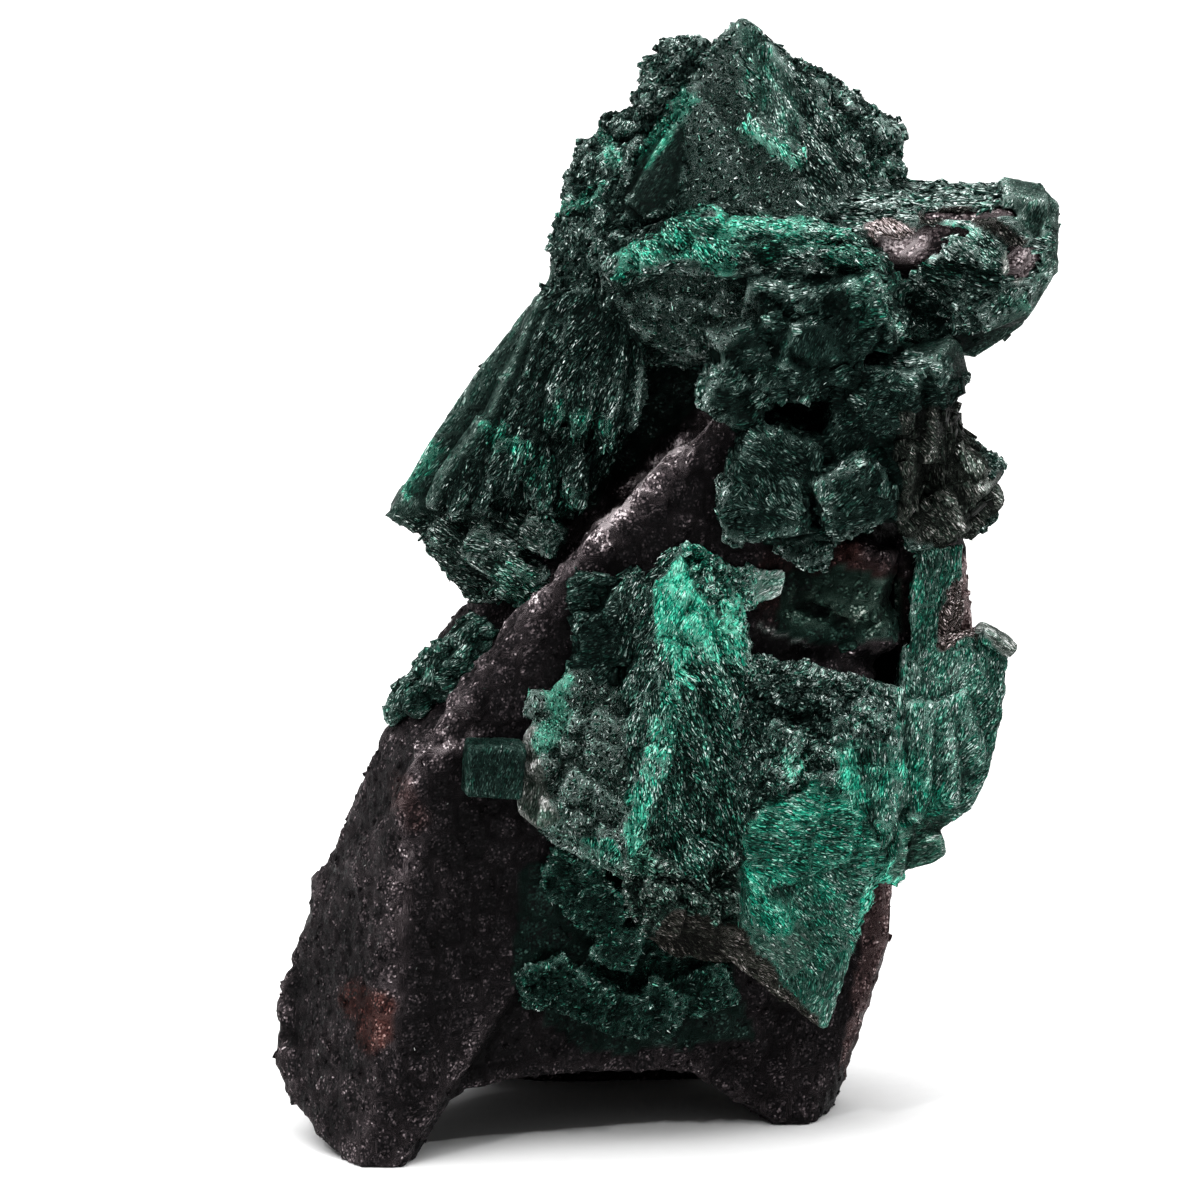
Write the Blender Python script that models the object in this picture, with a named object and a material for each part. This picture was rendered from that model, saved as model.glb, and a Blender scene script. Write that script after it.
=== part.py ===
"""A malachite specimen: velvety green crystals grown on a dark rock that stands on three feet.

Every mass is a union of convex chunks. Their corners are in millimetres, and most are given as
seen from the front and a little above, with how far back they lie.
"""

import math
import random

import bmesh
import bpy
from mathutils import Euler, Matrix, Vector

MM = 0.001
LOOK_DOWN_DEG = 12.0  # how far above the horizon the front view looks from
GAP = 0.34  # between a mass and its neighbour
WELD = 0.0006
FLAT_DEG = 1.2  # faces that differ by less are one face
KEPT_SHARE = 0.8  # of the triangles that the unions leave
WHOLE_CORNERS = 0.45  # the share of a box crystal's corners that aren't broken off
CRUST_SWING_DEG = 22.0  # how far a crust's crystals are turned from each other
CREST_CRYSTALS = 14
SAW_TEETH = 11


def spot(across, up, back):
    """A place as it's seen from the front: across, up, and how far back it lies."""
    lean = math.radians(LOOK_DOWN_DEG)
    return Vector((across, back, (up - back * math.sin(lean)) / math.cos(lean)))


def at(across, back, height):
    """A place by its real height above the ground."""
    return Vector((across, back, height))


def ground(across, back):
    return Vector((across, back, 0.0))


def hull(corners):
    """A convex chunk as a bmesh."""
    shape = bmesh.new()
    for corner in corners:
        shape.verts.new(corner)
    found = bmesh.ops.convex_hull(shape, input=shape.verts)
    spare = {e for e in found["geom_interior"] if isinstance(e, bmesh.types.BMVert)}
    spare |= {e for e in found["geom_unused"] if isinstance(e, bmesh.types.BMVert)}
    bmesh.ops.delete(shape, geom=list(spare), context="VERTS")
    bmesh.ops.recalc_face_normals(shape, faces=shape.faces)
    return shape


def grown(corners, gap):
    """The corners of a chunk that is bigger by a gap on every side."""
    steps = [Vector((x, y, z)) * gap for x in (-1, 1) for y in (-1, 1) for z in (-1, 1)]
    return [corner + step for corner in corners for step in steps]


def block(centre, size, turn, chip, seed):
    """A box-shaped crystal, some of whose corners are broken off."""
    pick = random.Random(seed)
    spin = Euler([math.radians(a) for a in turn]).to_matrix()
    half = Vector(size) / 2
    corners = []
    for sx in (-1, 1):
        for sy in (-1, 1):
            for sz in (-1, 1):
                corner = Vector((sx * half.x, sy * half.y, sz * half.z))
                if pick.random() < WHOLE_CORNERS:
                    corners.append(corner * pick.uniform(0.9, 1.04))
                    continue
                for axis, sign in enumerate((sx, sy, sz)):
                    cut = corner.copy()
                    cut[axis] -= sign * size[axis] * chip * pick.uniform(0.4, 1.3)
                    corners.append(cut)
    return [centre + spin @ corner for corner in corners]


def blade(foot, tip, width, thick, swivel=0.0, chisel=0.35):
    """A long flat crystal from its foot to its tip. Its broad side faces the front at a swivel
    of 0 degrees, and the chisel is the share of its length that narrows to the tip."""
    along = tip - foot
    front = Vector((math.sin(math.radians(swivel)), -1.0, 0.0))
    side = along.cross(front).normalized()
    face = side.cross(along).normalized()
    corners = []
    for share, wide, deep in ((0.0, 1.0, 1.0), (1.0 - chisel, 0.85, 0.9), (1.0, 0.3, 0.45)):
        middle = foot + along * share
        for s in (-1, 1):
            corners.append(middle + side * s * width / 2 * wide)
            corners.append(middle + side * s * width / 2 * wide * 0.7 + face * thick * deep)
            corners.append(middle + side * s * width / 2 * wide * 0.7 - face * thick * deep)
    return corners


def crust(patch, rows, columns, size, turn, seed, lift=0.0, chip=0.3):
    """Block crystals side by side on a patch with four corners, lower left first, going round.
    The lift is how far out of the patch their centres lie."""
    pick = random.Random(seed)
    low_left, low_right, high_right, high_left = patch
    out = (low_right - low_left).cross(high_left - low_left).normalized()
    chunks = []
    for row in range(rows):
        for column in range(columns):
            u = (column + 0.5 + pick.uniform(-0.3, 0.3)) / columns
            v = (row + 0.5 + pick.uniform(-0.3, 0.3)) / rows
            low = low_left.lerp(low_right, u)
            high = high_left.lerp(high_right, u)
            centre = low.lerp(high, v) + out * (lift + pick.uniform(-0.3, 0.4) * size[1])
            sides = [s * pick.uniform(0.75, 1.3) for s in size]
            swing = [a + pick.uniform(-CRUST_SWING_DEG, CRUST_SWING_DEG) for a in turn]
            chunks.append(block(centre, sides, swing, chip, pick.random()))
    return chunks


def solid(shape, name):
    """A bmesh as an object."""
    mesh = bpy.data.meshes.new(name)
    shape.to_mesh(mesh)
    shape.free()
    thing = bpy.data.objects.new(name, mesh)
    bpy.context.scene.collection.objects.link(thing)
    return thing


def combine(thing, other, operation):
    """Joins or cuts an object with another."""
    step = thing.modifiers.new("step", "BOOLEAN")
    step.operation = operation
    step.solver = "EXACT"
    step.object = other
    apply_modifiers(thing)


def apply_modifiers(thing):
    depsgraph = bpy.context.evaluated_depsgraph_get()
    result = bpy.data.meshes.new_from_object(thing.evaluated_get(depsgraph))
    thing.modifiers.clear()
    old = thing.data
    thing.data = result
    bpy.data.meshes.remove(old)


def use_up(thing):
    mesh = thing.data
    bpy.data.objects.remove(thing)
    bpy.data.meshes.remove(mesh)


def merged(chunks, name):
    """The union of convex chunks, joined two by two."""
    things = [solid(hull(chunk), name) for chunk in chunks]
    while len(things) > 1:
        halved = []
        for first in range(0, len(things) - 1, 2):
            combine(things[first], things[first + 1], "UNION")
            use_up(things[first + 1])
            halved.append(things[first])
        if len(things) % 2:
            halved.append(things[-1])
        things = halved
    things[0].name = name
    return things[0]


def islands(shape):
    """The groups of faces that hang together."""
    left = set(shape.faces)
    groups = []
    while left:
        group = {left.pop()}
        edge_of_group = list(group)
        while edge_of_group:
            face = edge_of_group.pop()
            for edge in face.edges:
                for other in edge.link_faces:
                    if other in left:
                        left.remove(other)
                        group.add(other)
                        edge_of_group.append(other)
        groups.append(group)
    return groups


def reach(group):
    """The length of the box around a group of faces."""
    points = [v.co for face in group for v in face.verts]
    low = Vector([min(p[i] for p in points) for i in range(3)])
    high = Vector([max(p[i] for p in points) for i in range(3)])
    return (high - low).length


def cleaned(thing):
    """Leaves one closed body, with few slivers, in metres."""
    shape = bmesh.new()
    shape.from_mesh(thing.data)
    groups = sorted(islands(shape), key=reach)
    spare = [face for group in groups[:-1] for face in group]
    bmesh.ops.delete(shape, geom=spare, context="FACES")
    bmesh.ops.remove_doubles(shape, verts=shape.verts, dist=WELD)
    bmesh.ops.dissolve_degenerate(shape, edges=shape.edges, dist=WELD)
    bmesh.ops.dissolve_limit(
        shape, angle_limit=math.radians(FLAT_DEG), verts=shape.verts, edges=shape.edges
    )
    bmesh.ops.triangulate(shape, faces=shape.faces)
    bmesh.ops.recalc_face_normals(shape, faces=shape.faces)
    shape.to_mesh(thing.data)
    shape.free()
    fewer = thing.modifiers.new("fewer", "DECIMATE")
    fewer.ratio = KEPT_SHARE
    fewer.use_collapse_triangulate = True
    apply_modifiers(thing)
    thing.data.transform(Matrix.Scale(MM, 4))


def centre_on_origin(things):
    """Moves the pieces together, so the middle of the box's base is at the origin."""
    points = [thing.matrix_world @ vertex.co for thing in things for vertex in thing.data.vertices]
    low, high = (Vector([pick(p[i] for p in points) for i in range(3)]) for pick in (min, max))
    for thing in things:
        thing.location = -Vector(((low.x + high.x) / 2, (low.y + high.y) / 2, low.z))


def mineral(name, colour, roughness):
    """A material for a node."""
    material = bpy.data.materials.new(name)
    material.use_nodes = True
    surface = material.node_tree.nodes["Principled BSDF"]
    surface.inputs["Base Color"].default_value = (*colour, 1.0)
    surface.inputs["Roughness"].default_value = roughness
    surface.inputs["Metallic"].default_value = 0.0
    return material


def matrix_chunks():
    """The rock: its feet, its walls, the ridge on its left and the core that carries the top."""
    left_foot = [
        ground(-22.8, 2.8), ground(-21.4, 0.4), ground(-19.3, 0.4), ground(-18.1, 3.0),
        ground(-18.6, 8.5), ground(-22.2, 9.0),
        spot(-24.4, 2.1, 5.0), spot(-26.0, 4.6, 9.0), spot(-26.9, 9.6, 12.0),
        spot(-26.3, 14.6, 13.0), spot(-24.5, 19.5, 13.0), spot(-22.3, 23.4, 12.5),
        spot(-18.9, 1.6, 1.0), spot(-18.7, 11.0, 1.4), spot(-18.1, 21.0, 2.4),
        spot(-18.6, 25.6, 3.4), spot(-16.8, 4.6, 3.4), spot(-9.0, 15.5, 5.4),
        spot(-15.5, 27.5, 4.6), at(-24.0, 24.0, 7.0), at(-21.5, 25.0, 22.0), at(-15.0, 22.0, 5.0),
    ]
    ridge = [
        spot(-18.6, 25.8, 3.6), spot(-16.8, 29.8, 4.2), spot(-13.6, 33.6, 4.8),
        spot(-11.2, 37.0, 5.4), spot(-7.7, 40.9, 6.2), spot(-4.9, 43.5, 6.8),
        spot(-1.0, 47.7, 7.6), spot(4.9, 52.4, 9.2),
        spot(-17.5, 29.5, 9.0), spot(-10.5, 38.5, 10.5), spot(-1.0, 48.5, 12.5),
        spot(5.5, 53.4, 14.0),
        spot(-9.0, 15.5, 5.4), spot(-3.0, 12.0, 8.5), spot(6.0, 14.0, 11.5),
        spot(12.0, 24.0, 13.0), spot(11.0, 42.0, 12.5), spot(8.0, 50.0, 11.5),
        at(-15.0, 22.0, 8.0), at(10.0, 22.0, 10.0), at(8.0, 22.0, 44.0),
    ]
    arch = [
        spot(-16.4, 4.8, 4.4), spot(-12.0, 5.9, 7.4), spot(-7.7, 6.5, 9.2),
        spot(-1.4, 6.4, 10.8), spot(2.6, 6.1, 12.0), spot(6.0, 5.0, 13.2),
        at(-18.0, 20.0, 3.0), at(8.0, 24.0, 2.6), at(-14.0, 28.0, 2.0), at(6.0, 29.0, 2.0),
        spot(-9.0, 15.5, 5.6), spot(-2.0, 14.0, 9.0), spot(7.0, 15.0, 12.0),
        at(-16.0, 22.0, 20.0), at(12.0, 22.0, 20.0),
    ]
    right_foot = [
        ground(7.2, 15.0), ground(8.2, 13.8), ground(9.6, 13.9), ground(10.8, 17.0),
        ground(11.6, 22.0), ground(8.6, 26.0), ground(5.8, 21.0),
        spot(5.6, 4.3, 13.4), spot(3.0, 6.0, 12.6), spot(10.9, 4.5, 15.4),
        spot(12.6, 8.4, 16.8), spot(14.1, 12.9, 17.2), spot(15.2, 15.8, 17.6),
        spot(15.5, 19.5, 17.8), spot(14.0, 26.0, 17.0), spot(3.0, 20.0, 11.5),
        spot(10.0, 16.0, 14.5), at(14.0, 26.0, 9.0), at(15.0, 25.0, 22.0), at(4.0, 24.0, 6.0),
    ]
    back_foot = [
        ground(-13.0, 29.5), ground(-10.5, 34.2), ground(-3.0, 35.5), ground(3.5, 33.0),
        ground(2.0, 28.5), ground(-8.0, 27.5),
        at(-22.0, 24.0, 9.0), at(-21.0, 27.0, 18.0), at(-9.0, 36.5, 12.0), at(4.0, 37.0, 10.0),
        at(8.0, 35.0, 20.0), at(14.0, 27.0, 11.0), at(-12.0, 34.0, 26.0),
    ]
    body = [
        at(-23.5, 20.0, 15.0), at(-21.0, 25.5, 22.0), at(-19.5, 16.0, 26.0),
        at(-18.0, 22.0, 31.0), at(-12.0, 35.0, 18.0), at(-10.5, 34.0, 28.0),
        at(-6.0, 32.0, 42.0), at(7.0, 35.5, 16.0), at(9.0, 33.5, 31.0), at(8.0, 31.0, 46.0),
        at(15.0, 27.5, 14.0), at(17.0, 27.0, 29.0), at(18.0, 26.0, 42.0),
        at(15.8, 18.5, 22.0), at(16.5, 18.0, 34.0), at(-15.0, 14.0, 30.0),
        at(-11.5, 16.0, 40.0), at(-3.0, 15.0, 46.0), at(12.0, 16.0, 48.0),
    ]
    shoulder = [
        at(-13.0, 17.0, 38.0), at(-12.5, 22.0, 44.0), at(-12.5, 17.0, 43.5), at(-7.5, 17.5, 55.0),
        at(-4.0, 27.0, 58.0), at(-1.0, 18.5, 66.0), at(4.0, 26.0, 67.0), at(8.0, 18.5, 67.0),
        at(13.0, 24.5, 62.0), at(17.0, 19.0, 58.0), at(19.2, 18.0, 47.0), at(19.2, 25.0, 44.0),
        at(6.0, 32.0, 46.0), at(1.5, 14.5, 47.0), at(15.0, 15.0, 44.0), at(-4.0, 31.5, 42.0),
    ]
    prong_core = [
        spot(11.0, 66.6, 14.5), spot(11.0, 63.0, 14.0), spot(14.6, 66.4, 11.4),
        spot(15.6, 63.6, 10.8), spot(18.6, 65.4, 11.0), spot(18.4, 63.4, 11.4),
        spot(23.6, 66.9, 12.4), spot(26.1, 63.8, 12.6), spot(24.4, 61.8, 12.4),
        spot(22.6, 62.6, 12.2), spot(12.0, 68.0, 20.0), spot(12.0, 61.0, 20.0),
        spot(24.0, 67.2, 19.0), spot(24.0, 63.0, 19.0),
    ]
    right_rib = [
        spot(20.4, 45.4, 20.0), spot(20.3, 41.0, 18.6), spot(20.6, 40.0, 18.0),
        spot(21.2, 37.4, 18.0), spot(19.5, 35.0, 17.0), spot(16.0, 34.0, 16.5),
        spot(16.0, 45.0, 16.0), spot(19.4, 45.2, 17.0),
        at(18.0, 26.0, 38.0), at(17.0, 26.0, 28.0), at(20.0, 22.0, 35.0),
    ]
    slabs = [
        block(spot(8.2, 42.6, 13.0), (4.6, 3.4, 4.0), (8, -12, 18), 0.3, 11),
        block(spot(12.6, 41.6, 12.8), (5.4, 3.8, 4.6), (-6, 14, -12), 0.25, 12),
        block(spot(8.4, 38.2, 12.6), (6.2, 3.4, 2.4), (10, 16, 6), 0.3, 13),
        block(spot(13.6, 37.4, 12.6), (4.2, 3.6, 2.8), (-12, -20, -8), 0.35, 14),
        block(spot(11.8, 34.6, 12.6), (4.6, 3.4, 1.8), (6, 8, 4), 0.3, 15),
    ]
    left_top = [
        spot(-24.5, 19.5, 13.0), spot(-22.4, 23.2, 12.6), spot(-21.4, 26.4, 12.0),
        spot(-20.3, 28.9, 11.6), spot(-19.8, 30.6, 11.2), spot(-18.4, 25.4, 3.8),
        spot(-16.8, 29.6, 4.6), spot(-14.8, 32.6, 8.0), spot(-18.4, 32.6, 12.0),
        at(-21.0, 19.0, 20.0), at(-19.0, 22.0, 25.0), at(-16.0, 21.0, 30.0), at(-14.0, 16.0, 20.0),
    ]
    crest = crest_crystals()
    teeth = saw_teeth()
    back_steps = [
        block(at(-5.0, 30.5, 28.0), (17.0, 9.0, 15.0), (8, 10, 14), 0.3, 21),
        block(at(7.0, 29.5, 37.0), (13.0, 9.0, 15.0), (-6, -12, -14), 0.35, 22),
        block(at(0.5, 26.2, 52.0), (13.0, 8.0, 16.0), (-10, 14, 6), 0.3, 23),
        block(at(-12.6, 25.5, 14.0), (11.0, 9.0, 13.0), (6, -14, 24), 0.35, 24),
        block(at(11.0, 27.0, 22.0), (11.0, 8.0, 13.0), (0, 12, -24), 0.3, 25),
        block(at(1.0, 33.4, 13.0), (15.0, 6.5, 11.0), (-8, 8, -4), 0.35, 26),
        block(at(-7.4, 27.0, 37.5), (8.0, 9.0, 12.0), (10, 14, 20), 0.3, 27),
        block(at(10.0, 24.0, 55.5), (10.0, 8.0, 11.0), (-8, -12, -16), 0.3, 28),
    ]
    return [
        left_foot, ridge, arch, right_foot, back_foot, body, shoulder, prong_core, right_rib,
        left_top, *slabs, *crest, *teeth, *back_steps,
    ]


def hollow_chunks():
    """What is cut from the rock: all below the ground, and the low arch between its feet."""
    below = [Vector((x, y, z)) for x in (-60, 60) for y in (-60, 60) for z in (-60, 0)]
    arch = [
        at(-17.4, 3.0, -1.0), at(-16.6, 4.0, 3.4), at(-15.0, 4.0, 4.5), at(-11.5, 4.0, 5.0),
        at(-7.7, 4.0, 5.1), at(-1.4, 4.0, 4.7), at(2.4, 4.0, 4.0), at(4.6, 4.0, 2.4),
        at(6.8, 4.0, -1.0),
        at(-16.5, 26.0, -1.0), at(-15.5, 26.0, 3.4), at(-8.0, 26.5, 5.8), at(0.0, 26.5, 5.3),
        at(3.6, 26.0, 2.8), at(5.0, 26.0, -1.0),
    ]
    return [below, arch]


def crest_crystals():
    """Small crystals along the ridge's crest."""
    pick = random.Random(6)
    line = [
        spot(4.0, 51.6, 9.2), spot(-1.0, 47.4, 8.0), spot(-7.7, 40.6, 6.7), spot(-13.6, 33.4, 5.3),
        spot(-17.6, 27.6, 4.4),
    ]
    sunk = Vector((0, 0.5, 0))
    crest_slope_deg = -48
    chunks = []
    for step in range(CREST_CRYSTALS):
        share = step / (CREST_CRYSTALS - 1) * (len(line) - 1)
        first = min(int(share), len(line) - 2)
        place = line[first].lerp(line[first + 1], share - first)
        size = pick.uniform(1.2, 1.9)
        turn = [
            pick.uniform(-25, 25),
            crest_slope_deg + pick.uniform(-15, 15),
            pick.uniform(-25, 25),
        ]
        sides = (size * 1.5, size * 1.4, size * 0.9)
        chunks.append(block(place + sunk, sides, turn, 0.3, step))
    return chunks


def saw_teeth():
    """Small crystals in a row up the rock's left edge."""
    pick = random.Random(5)
    low = spot(-26.2, 5.6, 9.6)
    middle = spot(-26.8, 10.6, 12.2)
    high = spot(-24.2, 19.6, 13.0)
    sunk = Vector((0.3, 0.4, 0))
    chunks = []
    for tooth in range(SAW_TEETH):
        share = tooth / (SAW_TEETH - 1)
        place = low.lerp(middle, share * 2) if share < 0.5 else middle.lerp(high, share * 2 - 1)
        size = pick.uniform(1.1, 1.7)
        turn = [pick.uniform(0, 90) for _ in range(3)]
        chunks.append(block(place + sunk, (size, size * 1.5, size), turn, 0.2, tooth))
    return chunks


def crown_chunks():
    """The pyramid at the top, its lobes on both sides and the flat facet on its left."""
    pyramid = [
        spot(5.2, 80.5, 19.5), spot(4.0, 79.6, 18.6), spot(2.4, 76.9, 16.4),
        spot(-2.2, 70.3, 13.0), spot(-3.0, 66.5, 10.6), spot(3.0, 67.0, 9.2),
        spot(10.0, 66.4, 9.4), spot(15.2, 68.4, 14.5), spot(15.2, 70.8, 17.5),
        spot(11.2, 75.2, 19.6), spot(8.4, 76.6, 19.4), spot(7.0, 78.4, 19.6),
        at(5.0, 25.5, 72.0), at(-2.0, 25.0, 68.0), at(14.0, 25.0, 66.0),
        at(-1.0, 24.0, 60.0), at(14.0, 24.0, 58.0), at(-3.0, 15.0, 60.0), at(14.0, 15.0, 60.0),
    ]
    inner_apex = [
        spot(1.7, 75.6, 13.2), spot(0.9, 74.6, 13.4), spot(4.8, 71.2, 11.6),
        spot(5.6, 66.8, 9.0), spot(1.6, 67.0, 9.6), spot(-0.9, 70.4, 12.4),
        spot(3.0, 75.0, 17.0), spot(0.0, 73.0, 17.0), spot(6.0, 70.0, 16.0),
    ]
    flat_facet = [
        spot(0.4, 72.9, 11.9), spot(-0.9, 71.0, 11.6), spot(-2.9, 67.6, 10.2),
        spot(-1.8, 66.6, 9.4), spot(0.9, 67.0, 9.6), spot(1.5, 69.9, 11.0),
        spot(0.8, 73.0, 16.0), spot(-3.0, 68.0, 15.0), spot(2.0, 67.0, 15.0),
    ]
    left_shoulder = [
        spot(0.6, 78.6, 20.6), spot(2.1, 78.8, 20.8), spot(3.0, 78.4, 20.4),
        spot(-1.4, 76.8, 19.4), spot(-2.4, 74.3, 18.0), spot(0.2, 75.4, 16.6),
        spot(2.2, 77.0, 17.4), at(0.0, 25.0, 71.0), at(3.0, 25.5, 72.0), at(-2.0, 25.0, 64.0),
    ]
    left_edge = [
        spot(-2.4, 74.3, 18.6), spot(-3.8, 72.9, 18.0), spot(-5.6, 71.6, 17.2),
        spot(-6.6, 70.9, 16.8), spot(-7.2, 68.1, 15.8), spot(-7.6, 66.0, 15.2),
        spot(-8.4, 62.0, 14.4), spot(-4.4, 61.4, 10.6), spot(-3.0, 66.6, 11.6),
        spot(-2.3, 70.3, 14.0), at(-5.0, 25.0, 62.0), at(-2.0, 25.5, 68.0), at(-6.0, 23.0, 56.0),
    ]
    mint_step = [
        spot(5.4, 72.8, 12.6), spot(8.8, 70.2, 11.2), spot(9.4, 70.7, 11.8),
        spot(6.0, 73.4, 13.6), spot(5.0, 71.6, 15.0), spot(9.0, 69.4, 14.5), spot(8.5, 73.0, 17.0),
    ]
    lobes = [
        block(spot(9.9, 74.0, 20.0), (4.4, 5.0, 4.0), (8, 20, 14), 0.3, 31),
        block(spot(12.0, 72.6, 20.6), (4.2, 5.0, 4.2), (-10, 34, 20), 0.35, 32),
        block(spot(13.4, 71.2, 19.6), (3.6, 5.0, 4.4), (6, 12, 28), 0.35, 33),
        block(spot(13.7, 69.2, 18.4), (3.4, 5.0, 3.6), (12, 6, 30), 0.35, 34),
        block(spot(11.4, 71.8, 17.4), (4.4, 3.6, 3.0), (20, 38, 16), 0.3, 35),
        block(spot(9.0, 74.6, 18.8), (3.4, 3.4, 4.2), (14, 40, 10), 0.3, 36),
    ]
    knobs = [
        block(spot(0.8, 77.4, 19.6), (2.2, 3.0, 2.0), (10, 30, 20), 0.3, 41),
        block(spot(-0.3, 75.8, 19.0), (2.0, 3.0, 2.2), (40, 10, 0), 0.3, 42),
        block(spot(-1.5, 73.8, 18.4), (1.8, 3.0, 1.8), (20, 50, 10), 0.3, 43),
        block(spot(-3.3, 71.9, 17.8), (2.4, 3.2, 2.0), (0, 20, 30), 0.3, 44),
        block(spot(-5.4, 70.0, 16.8), (2.2, 3.2, 2.6), (15, 15, 15), 0.3, 45),
        block(spot(-6.2, 67.6, 15.8), (2.0, 3.0, 2.4), (30, 5, 0), 0.3, 46),
        block(spot(-6.7, 65.0, 15.0), (1.9, 3.0, 2.6), (5, 12, 40), 0.3, 47),
    ]
    grains = crust(
        (spot(-5.0, 63.0, 10.6), spot(-2.4, 63.6, 9.4), spot(-1.6, 71.0, 14.0), spot(-4.6, 71.6, 17.0)),
        4, 2, (1.7, 1.5, 1.9), (10, 30, 0), 48,
    )
    streaks = [
        blade(spot(6.4, 78.0, 19.0), spot(14.0, 69.4, 15.2), 2.2, 1.3, 10, 0.2),
        blade(spot(6.0, 76.4, 18.0), spot(12.4, 67.8, 12.4), 2.2, 1.2, 5, 0.2),
        blade(spot(5.8, 74.6, 16.8), spot(9.4, 67.4, 10.8), 2.0, 1.2, 0, 0.2),
    ]
    return [
        pyramid, inner_apex, flat_facet, left_shoulder, left_edge, mint_step,
        *lobes, *knobs, *grains, *streaks,
    ]


def ledge_chunks():
    """The bright ledge under the pyramid and the grainy mass that hangs below it."""
    shelf = [
        spot(-4.8, 62.4, 9.0), spot(-2.2, 65.4, 9.6), spot(1.4, 67.0, 9.8), spot(7.0, 66.8, 9.8),
        spot(13.0, 65.4, 9.8), spot(15.6, 63.2, 10.4), spot(13.0, 62.4, 7.4),
        spot(8.0, 63.4, 6.2), spot(4.0, 63.4, 5.8), spot(0.0, 62.8, 6.4), spot(-3.6, 61.8, 7.8),
        at(-3.0, 16.0, 56.0), at(14.0, 16.0, 57.0), at(-3.0, 16.0, 62.0), at(14.0, 16.0, 62.0),
    ]
    bars = [
        blade(spot(-4.4, 62.6, 8.2), spot(3.4, 66.6, 8.0), 1.5, 1.1, 0, 0.2),
        blade(spot(0.4, 65.4, 7.8), spot(12.4, 65.4, 8.0), 1.3, 1.0, 0, 0.15),
        blade(spot(2.0, 64.2, 6.4), spot(14.4, 63.6, 8.0), 1.4, 1.0, 0, 0.2),
        blade(spot(-1.8, 63.4, 7.0), spot(6.2, 62.9, 6.2), 1.4, 1.0, 0, 0.2),
    ]
    hanging = [
        spot(-4.6, 62.0, 8.4), spot(0.0, 62.4, 7.2), spot(5.4, 62.8, 7.0), spot(7.0, 60.0, 8.0),
        spot(-4.6, 58.8, 10.4), spot(-1.0, 57.6, 9.8), spot(2.4, 56.9, 9.4), spot(5.8, 57.4, 9.0),
        at(-5.0, 18.0, 58.0), at(6.0, 18.0, 58.0), at(-4.0, 18.0, 54.0), at(6.0, 18.0, 53.0),
    ]
    grains = crust(
        (spot(-4.4, 58.6, 10.0), spot(3.8, 57.2, 9.2), spot(5.0, 62.0, 7.6), spot(-4.0, 61.6, 8.6)),
        2, 5, (1.9, 1.5, 1.5), (15, 20, 0), 51,
    )
    return [shelf, *bars, hanging, *grains]


def prong_chunks():
    """The prong that sticks out to the right: a slab above the rock's tongue and one below it."""
    upper_slab = [
        spot(11.0, 67.2, 12.0), spot(16.5, 68.0, 14.6), spot(23.8, 68.1, 14.8),
        spot(24.6, 68.6, 15.4), spot(26.2, 68.3, 15.2), spot(27.1, 67.4, 14.6),
        spot(26.9, 64.4, 13.6), spot(25.6, 64.6, 11.8), spot(23.6, 66.2, 11.4),
        spot(17.6, 66.2, 10.8), spot(12.0, 65.4, 10.0),
        spot(14.0, 69.0, 21.0), spot(24.0, 68.4, 21.0), spot(26.4, 66.0, 20.0), spot(12.0, 65.0, 20.0),
    ]
    inner_fibres = [
        spot(17.0, 65.0, 10.9), spot(23.2, 65.6, 11.2), spot(23.6, 62.6, 10.8),
        spot(21.0, 61.2, 10.6), spot(17.4, 62.2, 10.4), spot(17.0, 64.0, 13.4), spot(23.0, 64.0, 13.4),
    ]
    lower_slab = [
        spot(15.2, 62.0, 12.0), spot(19.0, 61.2, 11.2), spot(22.6, 61.6, 10.8),
        spot(25.2, 61.6, 11.4), spot(26.6, 62.5, 12.6), spot(25.5, 60.8, 13.0),
        spot(24.5, 59.0, 13.4), spot(22.4, 57.6, 13.6), spot(21.3, 56.9, 13.8),
        spot(19.2, 57.1, 13.4), spot(16.6, 58.6, 13.6), spot(26.0, 64.0, 19.0),
        spot(23.0, 59.5, 20.0), spot(18.0, 59.0, 20.0), spot(16.0, 64.0, 20.0),
    ]
    chin = [
        spot(21.0, 61.6, 10.4), spot(25.6, 62.0, 11.2), spot(24.6, 59.4, 12.0),
        spot(20.6, 58.8, 11.6), spot(18.4, 59.6, 12.0), spot(22.0, 62.0, 15.0), spot(22.0, 58.2, 15.0),
    ]
    right_tip = [
        spot(26.9, 66.6, 13.6), spot(26.9, 62.8, 13.2), spot(25.4, 61.0, 12.6),
        spot(26.2, 65.6, 11.9), spot(26.0, 62.6, 11.8), spot(25.0, 67.0, 18.0), spot(25.0, 61.5, 18.0),
    ]
    grains = [
        block(spot(24.6, 67.6, 14.4), (3.0, 3.4, 1.7), (10, 14, 10), 0.3, 61),
        block(spot(20.4, 67.2, 13.6), (4.2, 3.4, 1.5), (14, -6, 4), 0.3, 62),
        block(spot(15.4, 67.0, 12.8), (4.4, 3.2, 1.6), (8, 4, 0), 0.3, 63),
        block(spot(20.8, 64.0, 11.2), (3.0, 1.4, 1.6), (12, 24, 6), 0.35, 64),
        block(spot(23.2, 60.2, 11.6), (3.4, 2.0, 1.8), (0, -24, 0), 0.3, 65),
    ]
    return [upper_slab, inner_fibres, lower_slab, chin, right_tip, *grains]


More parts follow.
